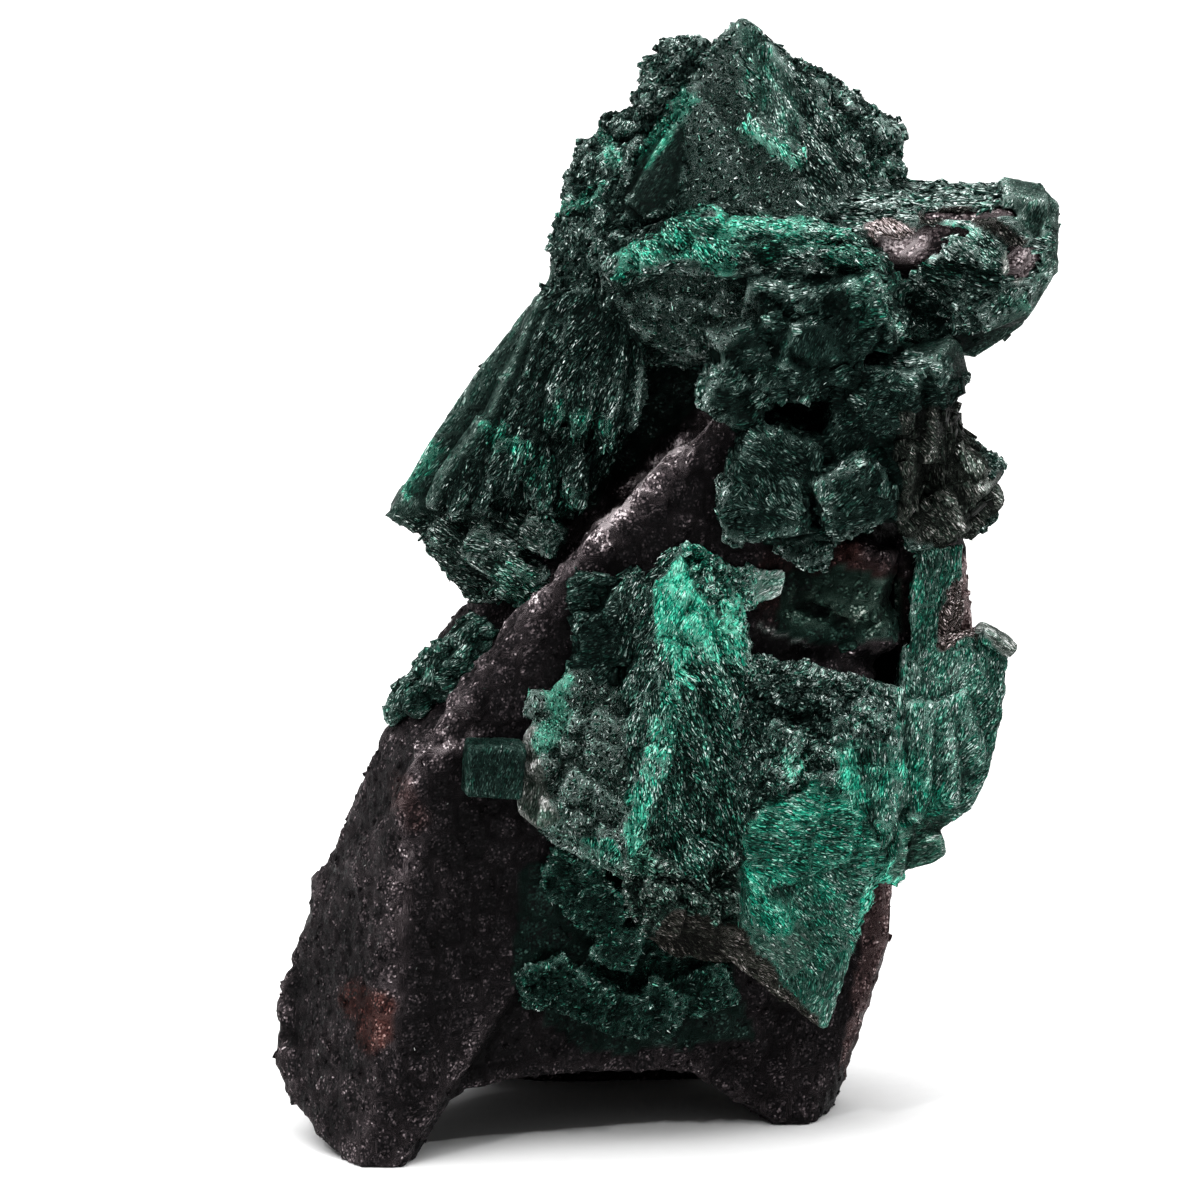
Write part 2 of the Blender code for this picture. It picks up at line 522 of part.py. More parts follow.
def left_blade_chunks():
    """The parallel blades down the left, the thin plate outside them and the crust below."""
    outer_plate = [
        spot(-8.4, 62.0, 14.6), spot(-10.5, 59.3, 14.0), spot(-13.6, 55.4, 13.0),
        spot(-16.8, 50.6, 12.0), spot(-18.4, 47.7, 11.6), spot(-19.1, 46.6, 12.0),
        spot(-17.9, 45.0, 12.0), spot(-15.5, 45.6, 10.0), spot(-12.5, 51.0, 11.0),
        spot(-7.0, 61.0, 12.0), spot(-9.0, 60.0, 19.0), spot(-14.0, 53.0, 17.0),
        spot(-17.4, 47.0, 15.5), spot(-11.0, 47.0, 16.0),
    ]
    lower_crust = [
        spot(-18.4, 46.4, 12.0), spot(-17.8, 45.0, 11.6), spot(-16.4, 42.7, 11.4),
        spot(-15.0, 40.9, 11.6), spot(-13.9, 39.6, 12.0), spot(-11.6, 39.9, 10.6),
        spot(-9.8, 42.0, 10.4), spot(-9.4, 45.0, 10.4), spot(-13.4, 46.4, 9.0),
        spot(-16.0, 45.0, 15.5), spot(-13.0, 41.0, 16.0), spot(-10.0, 46.0, 16.5),
    ]
    inner_mass = [
        spot(-8.6, 61.4, 12.6), spot(-4.0, 60.6, 10.4), spot(-2.4, 55.0, 12.0),
        spot(-3.4, 50.6, 12.2), spot(-7.0, 45.6, 11.4), spot(-12.4, 44.6, 10.4),
        spot(-12.4, 51.0, 10.4), spot(-8.0, 60.0, 19.0), spot(-4.0, 55.0, 19.0),
        spot(-9.0, 47.0, 17.0), spot(-4.4, 50.0, 17.0),
    ]
    ribs = [
        blade(spot(-8.6, 60.6, 13.0), spot(-15.2, 45.6, 8.4), 1.7, 1.3, 0, 0.2),
        blade(spot(-7.6, 61.0, 12.2), spot(-13.2, 46.2, 7.6), 1.6, 1.4, 0, 0.2),
        blade(spot(-6.8, 61.0, 11.6), spot(-11.4, 47.2, 7.6), 1.7, 1.5, 0, 0.2),
        blade(spot(-6.0, 61.0, 11.0), spot(-8.4, 51.6, 7.0), 1.9, 1.5, 0, 0.25),
        blade(spot(-4.8, 60.2, 10.8), spot(-6.6, 51.4, 7.4), 2.0, 1.5, 0, 0.25),
        blade(spot(-3.8, 59.8, 10.8), spot(-4.4, 50.8, 8.2), 2.2, 1.5, 0, 0.25),
        blade(spot(-2.6, 59.0, 11.4), spot(-2.8, 51.8, 10.2), 2.0, 1.4, 0, 0.3),
        blade(spot(-9.6, 51.2, 10.4), spot(-8.8, 46.0, 8.0), 2.4, 1.6, 0, 0.4),
        blade(spot(-7.2, 51.6, 10.8), spot(-6.4, 46.2, 9.0), 2.4, 1.5, 0, 0.4),
        blade(spot(-12.6, 52.0, 9.6), spot(-16.8, 46.4, 9.6), 2.0, 1.0, 0, 0.3),
    ]
    lumps = [
        block(spot(-10.6, 41.2, 9.8), (2.8, 2.6, 2.6), (10, 20, 10), 0.35, 71),
        block(spot(-12.6, 43.4, 9.6), (3.4, 2.4, 2.6), (0, 40, 0), 0.3, 72),
        block(spot(-15.4, 44.0, 10.6), (3.4, 2.4, 2.4), (0, 48, 10), 0.3, 73),
        block(spot(-18.2, 46.3, 12.0), (2.0, 2.6, 1.9), (10, 30, 0), 0.3, 74),
        block(spot(-9.0, 44.4, 10.2), (2.6, 2.2, 2.0), (0, 30, 0), 0.3, 75),
    ]
    return [outer_plate, lower_crust, inner_mass, *ribs, *lumps]


def block_cluster_chunks():
    """The box-shaped crystals in the middle right and the plates to their right."""
    backing = [
        spot(4.0, 62.0, 10.0), spot(15.0, 62.6, 10.6), spot(19.6, 56.6, 13.0),
        spot(19.6, 51.0, 13.4), spot(15.6, 46.6, 12.6), spot(9.4, 45.6, 12.0),
        spot(4.6, 44.6, 12.0), spot(5.2, 52.0, 12.6), spot(3.2, 54.6, 11.4),
        at(5.0, 18.0, 52.0), at(18.0, 18.0, 52.0), at(16.0, 18.0, 44.0), at(6.0, 18.0, 42.0),
    ]
    plates = [
        spot(19.7, 52.2, 14.0), spot(20.3, 50.4, 13.6), spot(21.4, 49.5, 13.6),
        spot(23.3, 46.8, 14.2), spot(22.4, 45.0, 14.4), spot(21.0, 44.0, 14.4),
        spot(16.2, 45.4, 12.0), spot(16.4, 51.6, 12.4), spot(19.6, 53.0, 18.0),
        spot(22.4, 47.0, 19.0), spot(17.0, 46.0, 20.0), spot(18.0, 52.0, 21.0),
    ]
    boxes = [
        block(spot(8.2, 60.8, 8.2), (5.2, 5.0, 3.6), (8, 10, -8), 0.25, 81),
        block(spot(13.0, 60.2, 8.6), (5.4, 5.4, 5.4), (12, -14, -16), 0.22, 82),
        block(spot(10.4, 57.6, 7.8), (5.6, 5.0, 4.6), (-6, 16, 12), 0.28, 83),
        block(spot(5.6, 57.6, 7.6), (4.8, 5.0, 4.2), (6, -22, 10), 0.25, 84),
        block(spot(4.8, 54.6, 7.8), (4.4, 4.6, 3.8), (12, 28, 6), 0.28, 85),
        block(spot(8.4, 55.2, 7.4), (4.8, 4.6, 3.2), (-8, -8, -10), 0.25, 86),
        block(spot(14.6, 54.4, 9.4), (6.0, 5.0, 4.4), (4, 8, -10), 0.25, 87),
        block(spot(17.6, 55.6, 10.8), (4.6, 5.0, 3.4), (8, -10, -20), 0.22, 88),
        block(spot(13.4, 51.4, 10.0), (5.4, 4.6, 3.2), (0, 12, 8), 0.3, 89),
        block(spot(17.4, 52.2, 11.2), (3.8, 4.6, 4.6), (0, 4, -20), 0.25, 90),
        block(spot(7.4, 50.2, 8.6), (5.4, 5.0, 4.2), (10, 24, 10), 0.3, 91),
        block(spot(6.6, 46.6, 8.6), (5.6, 5.0, 4.4), (-4, -10, -6), 0.28, 92),
        block(spot(12.3, 47.6, 8.8), (4.8, 5.0, 4.8), (6, -26, 14), 0.25, 93),
        block(spot(15.6, 49.0, 10.6), (3.6, 4.6, 5.6), (0, 10, -16), 0.28, 94),
        block(spot(9.4, 44.0, 10.6), (3.6, 4.0, 2.6), (0, 20, 0), 0.3, 95),
        block(spot(20.2, 48.4, 13.4), (4.4, 3.4, 4.6), (0, 32, -14), 0.25, 96),
        block(spot(18.6, 45.6, 13.0), (4.2, 3.6, 3.0), (0, -24, -10), 0.3, 97),
    ]
    return [backing, plates, *boxes]


def fan_chunks():
    """The velvet ridge, the plate on its left, the lobes on its right and the wedge below."""
    ridge = [
        spot(1.4, 44.2, 8.0), spot(-0.4, 43.2, 7.4), spot(-0.8, 39.5, 4.6), spot(-0.6, 34.0, 2.8),
        spot(-1.4, 29.0, 2.0), spot(-2.6, 24.6, 2.2), spot(-3.2, 21.4, 3.4),
        spot(3.6, 42.0, 7.4), spot(5.6, 37.0, 7.6), spot(5.0, 31.0, 6.6), spot(2.4, 25.0, 5.4),
        spot(-5.0, 36.0, 7.4), spot(-3.2, 41.0, 8.0), spot(-5.0, 29.0, 5.4),
        spot(1.0, 43.0, 14.0), spot(6.0, 36.0, 14.0), spot(2.0, 24.0, 12.0), spot(-4.0, 24.0, 11.0),
    ]
    granular_plate = [
        spot(-10.2, 31.0, 5.6), spot(-10.8, 28.0, 4.9), spot(-10.5, 25.0, 4.5),
        spot(-7.9, 22.7, 4.0), spot(-5.6, 21.7, 3.6), spot(-3.0, 20.4, 3.6),
        spot(-2.0, 26.0, 2.8), spot(-2.6, 33.0, 4.2), spot(-5.6, 34.2, 5.6), spot(-8.8, 34.2, 5.8),
        spot(-9.4, 33.0, 10.0), spot(-9.4, 25.0, 9.0), spot(-3.0, 22.0, 9.0), spot(-4.0, 34.0, 10.0),
    ]
    chunky_middle = [
        spot(-3.2, 20.6, 4.2), spot(-3.0, 18.4, 4.8), spot(-1.8, 16.4, 5.4), spot(0.4, 14.9, 6.2),
        spot(4.6, 14.4, 7.4), spot(5.4, 20.0, 6.8), spot(4.4, 25.0, 6.4), spot(-1.0, 24.0, 4.4),
        spot(0.0, 16.4, 11.0), spot(5.0, 16.0, 12.0), spot(4.0, 25.0, 12.0), spot(-2.0, 22.0, 10.0),
    ]
    valley = [
        spot(1.4, 34.6, 5.0), spot(6.6, 34.6, 9.0), spot(7.6, 27.0, 7.4), spot(8.0, 22.4, 6.8),
        spot(2.0, 19.6, 6.2), spot(-1.4, 22.0, 4.8), spot(-0.4, 28.0, 3.8),
        spot(6.0, 34.0, 14.0), spot(7.0, 22.0, 13.0), spot(0.0, 21.0, 11.0), spot(1.0, 34.0, 12.0),
    ]
    right_body = [
        spot(5.0, 36.0, 8.6), spot(7.0, 33.4, 9.0), spot(9.6, 34.2, 9.6), spot(12.0, 34.0, 9.8),
        spot(16.4, 33.4, 10.4), spot(16.6, 26.0, 8.4), spot(14.4, 22.4, 7.6), spot(9.0, 22.6, 6.6),
        spot(4.6, 25.0, 6.2), spot(2.8, 30.0, 5.8), spot(8.0, 29.0, 6.8),
        spot(6.0, 34.0, 14.0), spot(16.0, 33.0, 15.0), spot(14.0, 22.0, 15.0), spot(5.0, 24.0, 13.0),
    ]
    right_lobe = [
        spot(16.4, 36.4, 13.0), spot(18.8, 37.0, 13.6), spot(21.6, 37.6, 15.4),
        spot(23.6, 36.3, 15.6), spot(23.4, 33.5, 14.6), spot(23.1, 31.4, 13.8),
        spot(22.3, 27.9, 12.6), spot(21.0, 25.2, 11.8), spot(18.8, 23.8, 10.8),
        spot(16.2, 22.6, 9.2), spot(16.2, 29.0, 9.6), spot(18.6, 29.0, 9.8),
        spot(21.0, 36.0, 19.5), spot(22.0, 31.0, 19.0), spot(20.0, 26.0, 18.0),
        spot(16.0, 24.0, 16.0), spot(16.0, 35.0, 17.0),
    ]
    round_lobe = [
        spot(6.8, 35.0, 10.4), spot(9.2, 35.4, 10.0), spot(11.6, 34.4, 9.8), spot(12.4, 32.0, 8.6),
        spot(11.0, 30.6, 7.6), spot(8.0, 31.0, 7.8), spot(6.4, 32.8, 8.8),
        spot(7.0, 34.0, 13.0), spot(11.6, 33.0, 13.0), spot(9.0, 30.6, 12.0),
    ]
    wedge_brow = [
        spot(4.8, 22.4, 5.6), spot(6.4, 25.0, 5.6), spot(10.2, 26.6, 6.2), spot(13.6, 24.6, 7.2),
        spot(12.4, 21.6, 6.8), spot(8.4, 20.2, 5.6), spot(6.0, 19.4, 5.6),
        spot(6.0, 24.0, 11.0), spot(13.0, 23.0, 12.0), spot(8.0, 19.0, 11.0),
    ]
    wedge = [
        spot(5.0, 22.6, 5.8), spot(8.0, 24.4, 5.8), spot(14.8, 22.0, 8.2), spot(14.6, 20.6, 8.8),
        spot(13.1, 18.8, 8.8), spot(12.3, 14.2, 8.6), spot(10.8, 9.8, 8.2), spot(7.0, 12.5, 7.0),
        spot(3.6, 15.2, 6.6), spot(5.0, 22.0, 12.0), spot(13.0, 20.0, 14.0), spot(10.6, 11.4, 11.0),
        spot(5.0, 15.0, 11.0),
    ]
    strip = [
        spot(17.0, 36.0, 13.0), spot(20.2, 37.8, 15.0), spot(20.2, 41.0, 15.4),
        spot(20.4, 43.6, 15.6), spot(17.6, 43.2, 13.2), spot(17.0, 40.0, 12.6),
        spot(17.4, 36.0, 17.4), spot(19.6, 43.0, 18.0), spot(17.4, 42.0, 17.0),
    ]
    leaf = [
        spot(4.9, 43.6, 9.8), spot(5.6, 44.2, 10.2), spot(8.0, 41.6, 10.2), spot(7.6, 40.2, 9.6),
        spot(5.0, 39.0, 8.4), spot(3.4, 41.4, 8.2), spot(5.0, 43.0, 13.0), spot(7.4, 40.6, 13.0),
        spot(4.0, 39.6, 12.5),
    ]
    side_crystals = [
        block(spot(-5.4, 40.4, 7.4), (3.8, 3.4, 2.9), (8, 16, 14), 0.3, 101),
        block(spot(-4.6, 37.2, 6.4), (3.8, 3.4, 3.6), (-8, -12, 10), 0.25, 102),
        block(spot(-2.6, 39.6, 6.4), (3.0, 3.4, 3.6), (0, 30, 0), 0.3, 103),
        block(spot(-5.6, 34.6, 6.0), (2.8, 3.0, 2.6), (10, 20, 0), 0.3, 104),
    ]
    ridge_spines = [
        blade(spot(1.6, 43.0, 8.0), spot(-2.8, 36.4, 5.2), 2.0, 1.1, 0, 0.3),
        blade(spot(0.6, 40.4, 5.9), spot(-2.8, 32.4, 3.9), 2.0, 1.1, 0, 0.3),
        blade(spot(0.4, 36.6, 4.4), spot(-3.6, 28.4, 3.3), 2.0, 1.1, 0, 0.3),
        blade(spot(2.0, 42.4, 7.4), spot(5.0, 34.8, 6.6), 2.0, 1.2, 0, 0.3),
        blade(spot(1.2, 38.6, 5.4), spot(4.8, 30.4, 6.2), 2.0, 1.2, 0, 0.3),
        blade(spot(0.4, 34.4, 3.8), spot(3.0, 26.4, 5.0), 2.0, 1.1, 0, 0.3),
        blade(spot(-0.8, 29.4, 2.8), spot(-3.4, 21.2, 3.1), 2.0, 1.1, 0, 0.3),
    ]
    plate_grains = crust(
        (spot(-9.4, 25.0, 4.4), spot(-3.4, 21.6, 3.2), spot(-3.4, 32.4, 3.8), spot(-9.6, 33.0, 5.4)),
        4, 3, (1.9, 1.5, 1.7), (20, 20, 10), 111,
    )
    middle_chunks = crust(
        (spot(-1.6, 16.8, 5.2), spot(4.6, 15.6, 6.8), spot(4.6, 23.0, 6.2), spot(-1.0, 22.6, 4.2)),
        3, 3, (2.2, 1.7, 1.7), (20, 24, 0), 112, 0.1, 0.35,
    )
    body_grains = crust(
        (spot(7.0, 26.0, 6.2), spot(15.6, 25.6, 8.0), spot(15.8, 32.8, 10.2), spot(6.4, 32.6, 8.4)),
        3, 3, (2.8, 1.5, 2.4), (14, 14, 0), 113,
    )
    lobe_fins = [
        blade(spot(17.6, 32.6, 10.8), spot(17.2, 24.4, 9.2), 2.2, 1.1, 0, 0.3),
        blade(spot(18.6, 32.6, 11.2), spot(19.8, 25.4, 10.6), 2.2, 1.1, 0, 0.3),
        blade(spot(19.6, 33.0, 12.0), spot(21.6, 27.8, 11.9), 2.4, 1.1, 0, 0.3),
        blade(spot(12.4, 31.4, 9.0), spot(12.0, 25.0, 7.2), 2.4, 1.3, 0, 0.3),
        blade(spot(15.0, 31.0, 9.4), spot(15.2, 24.0, 7.8), 2.6, 1.3, 0, 0.3),
    ]
    flake = block(spot(22.8, 37.0, 15.6), (2.2, 3.0, 0.9), (0, 30, 10), 0.2, 114)
    small_lobe = block(spot(17.4, 22.5, 11.6), (3.2, 4.0, 1.7), (0, -12, 6), 0.3, 115)
    under_lobe = block(spot(14.6, 21.8, 10.6), (3.6, 4.0, 2.2), (0, 16, 0), 0.3, 116)
    return [
        ridge, granular_plate, chunky_middle, valley, right_body, right_lobe, wedge, strip, leaf,
        round_lobe, wedge_brow,
        *side_crystals, *ridge_spines, *plate_grains, *middle_chunks, *body_grains, *lobe_fins,
        flake, small_lobe, under_lobe,
    ]


def skirt_chunks():
    """The dark crystals under the fan, in an upper group and a lower row."""
    bed = [
        spot(-8.6, 22.0, 6.4), spot(-4.6, 20.6, 6.0), spot(-3.6, 16.0, 6.6), spot(0.0, 13.8, 7.6),
        spot(4.2, 13.4, 9.0), spot(1.6, 11.0, 9.2), spot(-4.4, 9.6, 8.0), spot(-9.6, 11.4, 6.2),
        spot(-7.4, 17.0, 5.8), spot(-8.0, 20.0, 11.0), spot(2.0, 13.0, 13.0), spot(-8.0, 12.0, 11.0),
    ]
    crystals = [
        block(spot(-7.0, 20.6, 6.2), (3.4, 2.8, 3.8), (10, 24, 0), 0.3, 121),
        block(spot(-4.9, 18.4, 5.8), (3.4, 2.6, 3.4), (0, 36, 0), 0.3, 122),
        block(spot(-3.6, 15.8, 6.0), (3.0, 2.6, 3.0), (12, 20, 0), 0.3, 123),
        block(spot(-8.8, 13.2, 5.4), (3.8, 2.6, 2.6), (0, -18, 14), 0.3, 124),
        block(spot(-6.0, 12.2, 6.0), (3.6, 2.6, 2.8), (10, 26, 6), 0.3, 125),
        block(spot(-3.2, 10.9, 6.8), (3.4, 2.6, 2.6), (0, 10, 0), 0.3, 126),
        block(spot(-0.6, 11.4, 7.2), (3.0, 2.6, 2.8), (0, 30, 0), 0.3, 127),
        block(spot(2.4, 12.6, 8.2), (3.6, 2.6, 2.8), (0, -20, 0), 0.3, 128),
        block(spot(-4.4, 9.2, 7.4), (5.0, 2.2, 1.4), (0, 10, 0), 0.3, 129),
    ]
    return [bed, *crystals]


def cube_chunks():
    return [block(spot(-12.5, 28.3, 4.6), (3.8, 4.6, 3.5), (4, 4, 8), 0.16, 132)]


def left_crust_chunks():
    """The thin crust on the rock's left edge, under the blades."""
    sheet = [
        spot(-19.8, 32.3, 11.0), spot(-19.2, 33.6, 11.0), spot(-17.1, 34.4, 10.6),
        spot(-16.1, 35.7, 10.6), spot(-14.7, 37.3, 10.8), spot(-13.9, 38.9, 11.2),
        spot(-12.4, 38.0, 9.6), spot(-12.6, 35.4, 8.2), spot(-16.4, 31.4, 8.0),
        spot(-19.4, 30.4, 9.4), spot(-18.6, 32.0, 15.0), spot(-14.0, 37.4, 15.0),
    ]
    lumps = crust(
        (spot(-18.6, 31.4, 9.0), spot(-13.4, 35.8, 8.4), spot(-13.4, 38.0, 10.0), spot(-18.4, 33.4, 10.4)),
        2, 3, (2.0, 1.6, 1.8), (0, 40, 0), 141,
    )
    return [sheet, *lumps]


def build():
    """Every node in turn. Each is cut clear of the ones before it."""
    malachite = (0.02, 0.2, 0.13)
    dark_malachite = (0.02, 0.09, 0.075)
    nodes = [
        ("matrix", matrix_chunks(), (0.035, 0.026, 0.027), 0.75),
        (
            "malachite_upper",
            crown_chunks() + ledge_chunks() + prong_chunks() + left_blade_chunks()
            + block_cluster_chunks(),
            malachite, 0.5,
        ),
        ("malachite_fan", fan_chunks(), malachite, 0.5),
        ("malachite_skirt", skirt_chunks(), dark_malachite, 0.45),
        ("malachite_cube", cube_chunks(), dark_malachite, 0.4),
        ("malachite_left_crust", left_crust_chunks(), dark_malachite, 0.45),
    ]
    things = []
    clearances = []
    for name, chunks, colour, roughness in nodes:
        thing = merged(chunks, name)
        for clearance in clearances:
            combine(thing, clearance, "DIFFERENCE")
        if name == "matrix":
            hollow = merged(hollow_chunks(), "hollow")
            combine(thing, hollow, "DIFFERENCE")
            use_up(hollow)
        cleaned(thing)
        thing.data.materials.clear()
        thing.data.materials.append(mineral(name, colour, roughness))
        things.append(thing)
        clearances.append(merged([grown(chunk, GAP) for chunk in chunks], name + "_clearance"))
    for clearance in clearances:
        use_up(clearance)
    centre_on_origin(things)


for old in list(bpy.data.objects):
    bpy.data.objects.remove(old)
build()
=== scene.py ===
"""The looks of a malachite specimen: velvety green crystals on a dark rock.

Places are in millimetres in the picture's frame: across, up and back, as seen from the front and
twelve degrees above the horizon. The row frame's metres come in only where a mesh is made.
"""

import itertools
import math

import bpy
import numpy as np
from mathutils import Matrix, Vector


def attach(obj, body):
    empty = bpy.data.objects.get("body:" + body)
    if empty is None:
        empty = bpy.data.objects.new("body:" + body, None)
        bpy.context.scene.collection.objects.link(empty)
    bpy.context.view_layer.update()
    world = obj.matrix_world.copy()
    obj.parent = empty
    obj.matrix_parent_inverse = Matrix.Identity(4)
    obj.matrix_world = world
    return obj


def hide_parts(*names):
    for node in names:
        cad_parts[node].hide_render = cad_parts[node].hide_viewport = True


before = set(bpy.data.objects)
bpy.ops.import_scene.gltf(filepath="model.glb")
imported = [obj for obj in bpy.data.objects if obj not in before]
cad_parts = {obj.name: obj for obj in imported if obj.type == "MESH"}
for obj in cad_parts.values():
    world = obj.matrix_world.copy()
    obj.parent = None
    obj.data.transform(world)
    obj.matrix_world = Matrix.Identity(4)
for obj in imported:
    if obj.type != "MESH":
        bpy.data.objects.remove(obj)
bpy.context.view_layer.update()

MM = 0.001
LOOK_DOWN = math.radians(12.0)
PICTURE_ZERO = np.array((0.2862, -18.9308, 0.0))  # where across 0 and back 0 lie in the row frame
RIGHT = np.array((1.0, 0.0, 0.0))
UP = np.array((0.0, math.sin(LOOK_DOWN), math.cos(LOOK_DOWN)))
TOWARDS = np.array((0.0, -math.cos(LOOK_DOWN), math.sin(LOOK_DOWN)))

PICTURE_WIDTH = 84.0  # what the picture takes in from side to side
PICTURE_MIDDLE = (-4.9, 39.76, 11.0)
CAMERA_DISTANCE = 2500.0
SENSOR = 36.0
NEAREST, FARTHEST = 0.1, 20.0  # what the camera takes in, in metres
LOWEST = 0.02  # nothing reaches below this, so that the feet stand on the floor
LIGHT_AIM = Vector((0.0, 0.0, 0.035))
FAR = 1e9


def spot(across, up, back):
    """A place as it's seen from the front: across, up, and how far back it lies."""
    return np.array((across, back, (up - back * UP[1]) / UP[2]))


def unit(vectors):
    length = np.linalg.norm(vectors, axis=-1, keepdims=True)
    return vectors / np.maximum(length, 1e-9)


def ease(low, high, value):
    """0 below low, 1 above high, and smooth between them."""
    part = np.clip((value - low) / (high - low), 0.0, 1.0)
    return part * part * (3 - 2 * part)


def add_object(name, data):
    thing = bpy.data.objects.new(name, data)
    bpy.context.scene.collection.objects.link(thing)
    return thing


# Noise. A number added to a seed keeps its draws apart from the others.

PLACE_MIXERS = (73856093, 19349663, 83492791)
SEED_MIXER = 2654435761
SHIFTS = ((15, 2246822519), (13, 3266489917))
WORD = 0xFFFFFFFF
CELL_EDGE = 0.1  # how near to its cell's side a scattered seed may lie


def draw(cell, seed):
    """A fixed random number from 0 to 1 for each cell of a grid in space."""
    across, back, up = (cell.astype(np.int64) * PLACE_MIXERS).T
    mixed = (across ^ back ^ up ^ seed * SEED_MIXER) & WORD
    for shift, factor in SHIFTS:
        mixed = ((mixed ^ mixed >> shift) * factor) & WORD
    return (mixed ^ mixed >> 16) / WORD


def draws(cell, seed):
    """Three fixed random numbers for each cell."""
    return np.stack([draw(cell, seed + axis) for axis in range(3)], axis=1)


def noise(points, seed):
    """Smooth noise from -1 to 1, with one swell for each unit of length."""
    low = np.floor(points)
    share = points - low
    share = share * share * (3 - 2 * share)
    total = np.zeros(len(points))
    for corner in itertools.product((0, 1), repeat=3):
        weight = np.prod(np.where(corner, share, 1 - share), axis=1)
        total += weight * draw(low + corner, seed)
    return total * 2 - 1


def cells(points, seed):
    """The nearest of scattered seeds: its grid cell, its place, and the nearness of it and the next."""
    home = np.floor(points)
    near = np.full(len(points), FAR)
    after = near.copy()
    owner = home.copy()
    place = points.copy()
    for step in itertools.product((-1, 0, 1), repeat=3):
        cell = home + step
        centre = cell + CELL_EDGE + (1 - 2 * CELL_EDGE) * draws(cell, seed)
        away = np.sqrt(((centre - points) ** 2).sum(axis=1))
        closer = away < near
        after = np.where(closer, near, np.minimum(after, away))
        near = np.where(closer, away, near)
        owner[closer] = cell[closer]
        place[closer] = centre[closer]
    return owner, place, near, after


FACE_STEP = 0.6  # how far flat faces differ in height
GROOVE_WIDTH = 0.4
GROOVE_RIM = 0.3
SEAM_WIDTH = 0.16


def facets(points, seed, tilt, groove):
    """Flat faces side by side, with grooves between them.

    Gives their height, a random number for each face, and where the seams are.
    """
    owner, place, near, after = cells(points, seed)
    slope = draws(owner, seed + 11) * 2 - 1
    sloping = ((points - place) * slope).sum(axis=1)
    away = after - near
    deep = (np.minimum(away, GROOVE_WIDTH) - GROOVE_RIM) * groove
    height = draw(owner, seed + 7) * FACE_STEP + sloping * tilt + deep
    return height, draw(owner, seed + 15), 1 - ease(0.0, SEAM_WIDTH, away)


# Shapes drawn on the picture

def along_line(across, up, points):
    """How far places are from a line through points."""
    best = np.full(len(across), FAR)
    for (a, b), (c, d) in zip(points, points[1:] or points):
        run, rise = c - a, d - b
        length = run * run + rise * rise
        share = 0.0
        if length > 0:
            share = np.clip(((across - a) * run + (up - b) * rise) / length, 0, 1)
        best = np.minimum(best, np.hypot(across - a - share * run, up - b - share * rise))
    return best


def within(across, up, outline):
    """True for places inside an outline."""
    inside = np.zeros(len(across), bool)
    for (a, b), (c, d) in zip(outline, outline[1:] + outline[:1]):
        crosses = (b > up) != (d > up)
        if b != d:
            inside ^= crosses & (across < (c - a) * (up - b) / (d - b) + a)
    return inside


# How the surface is built in each kind of region

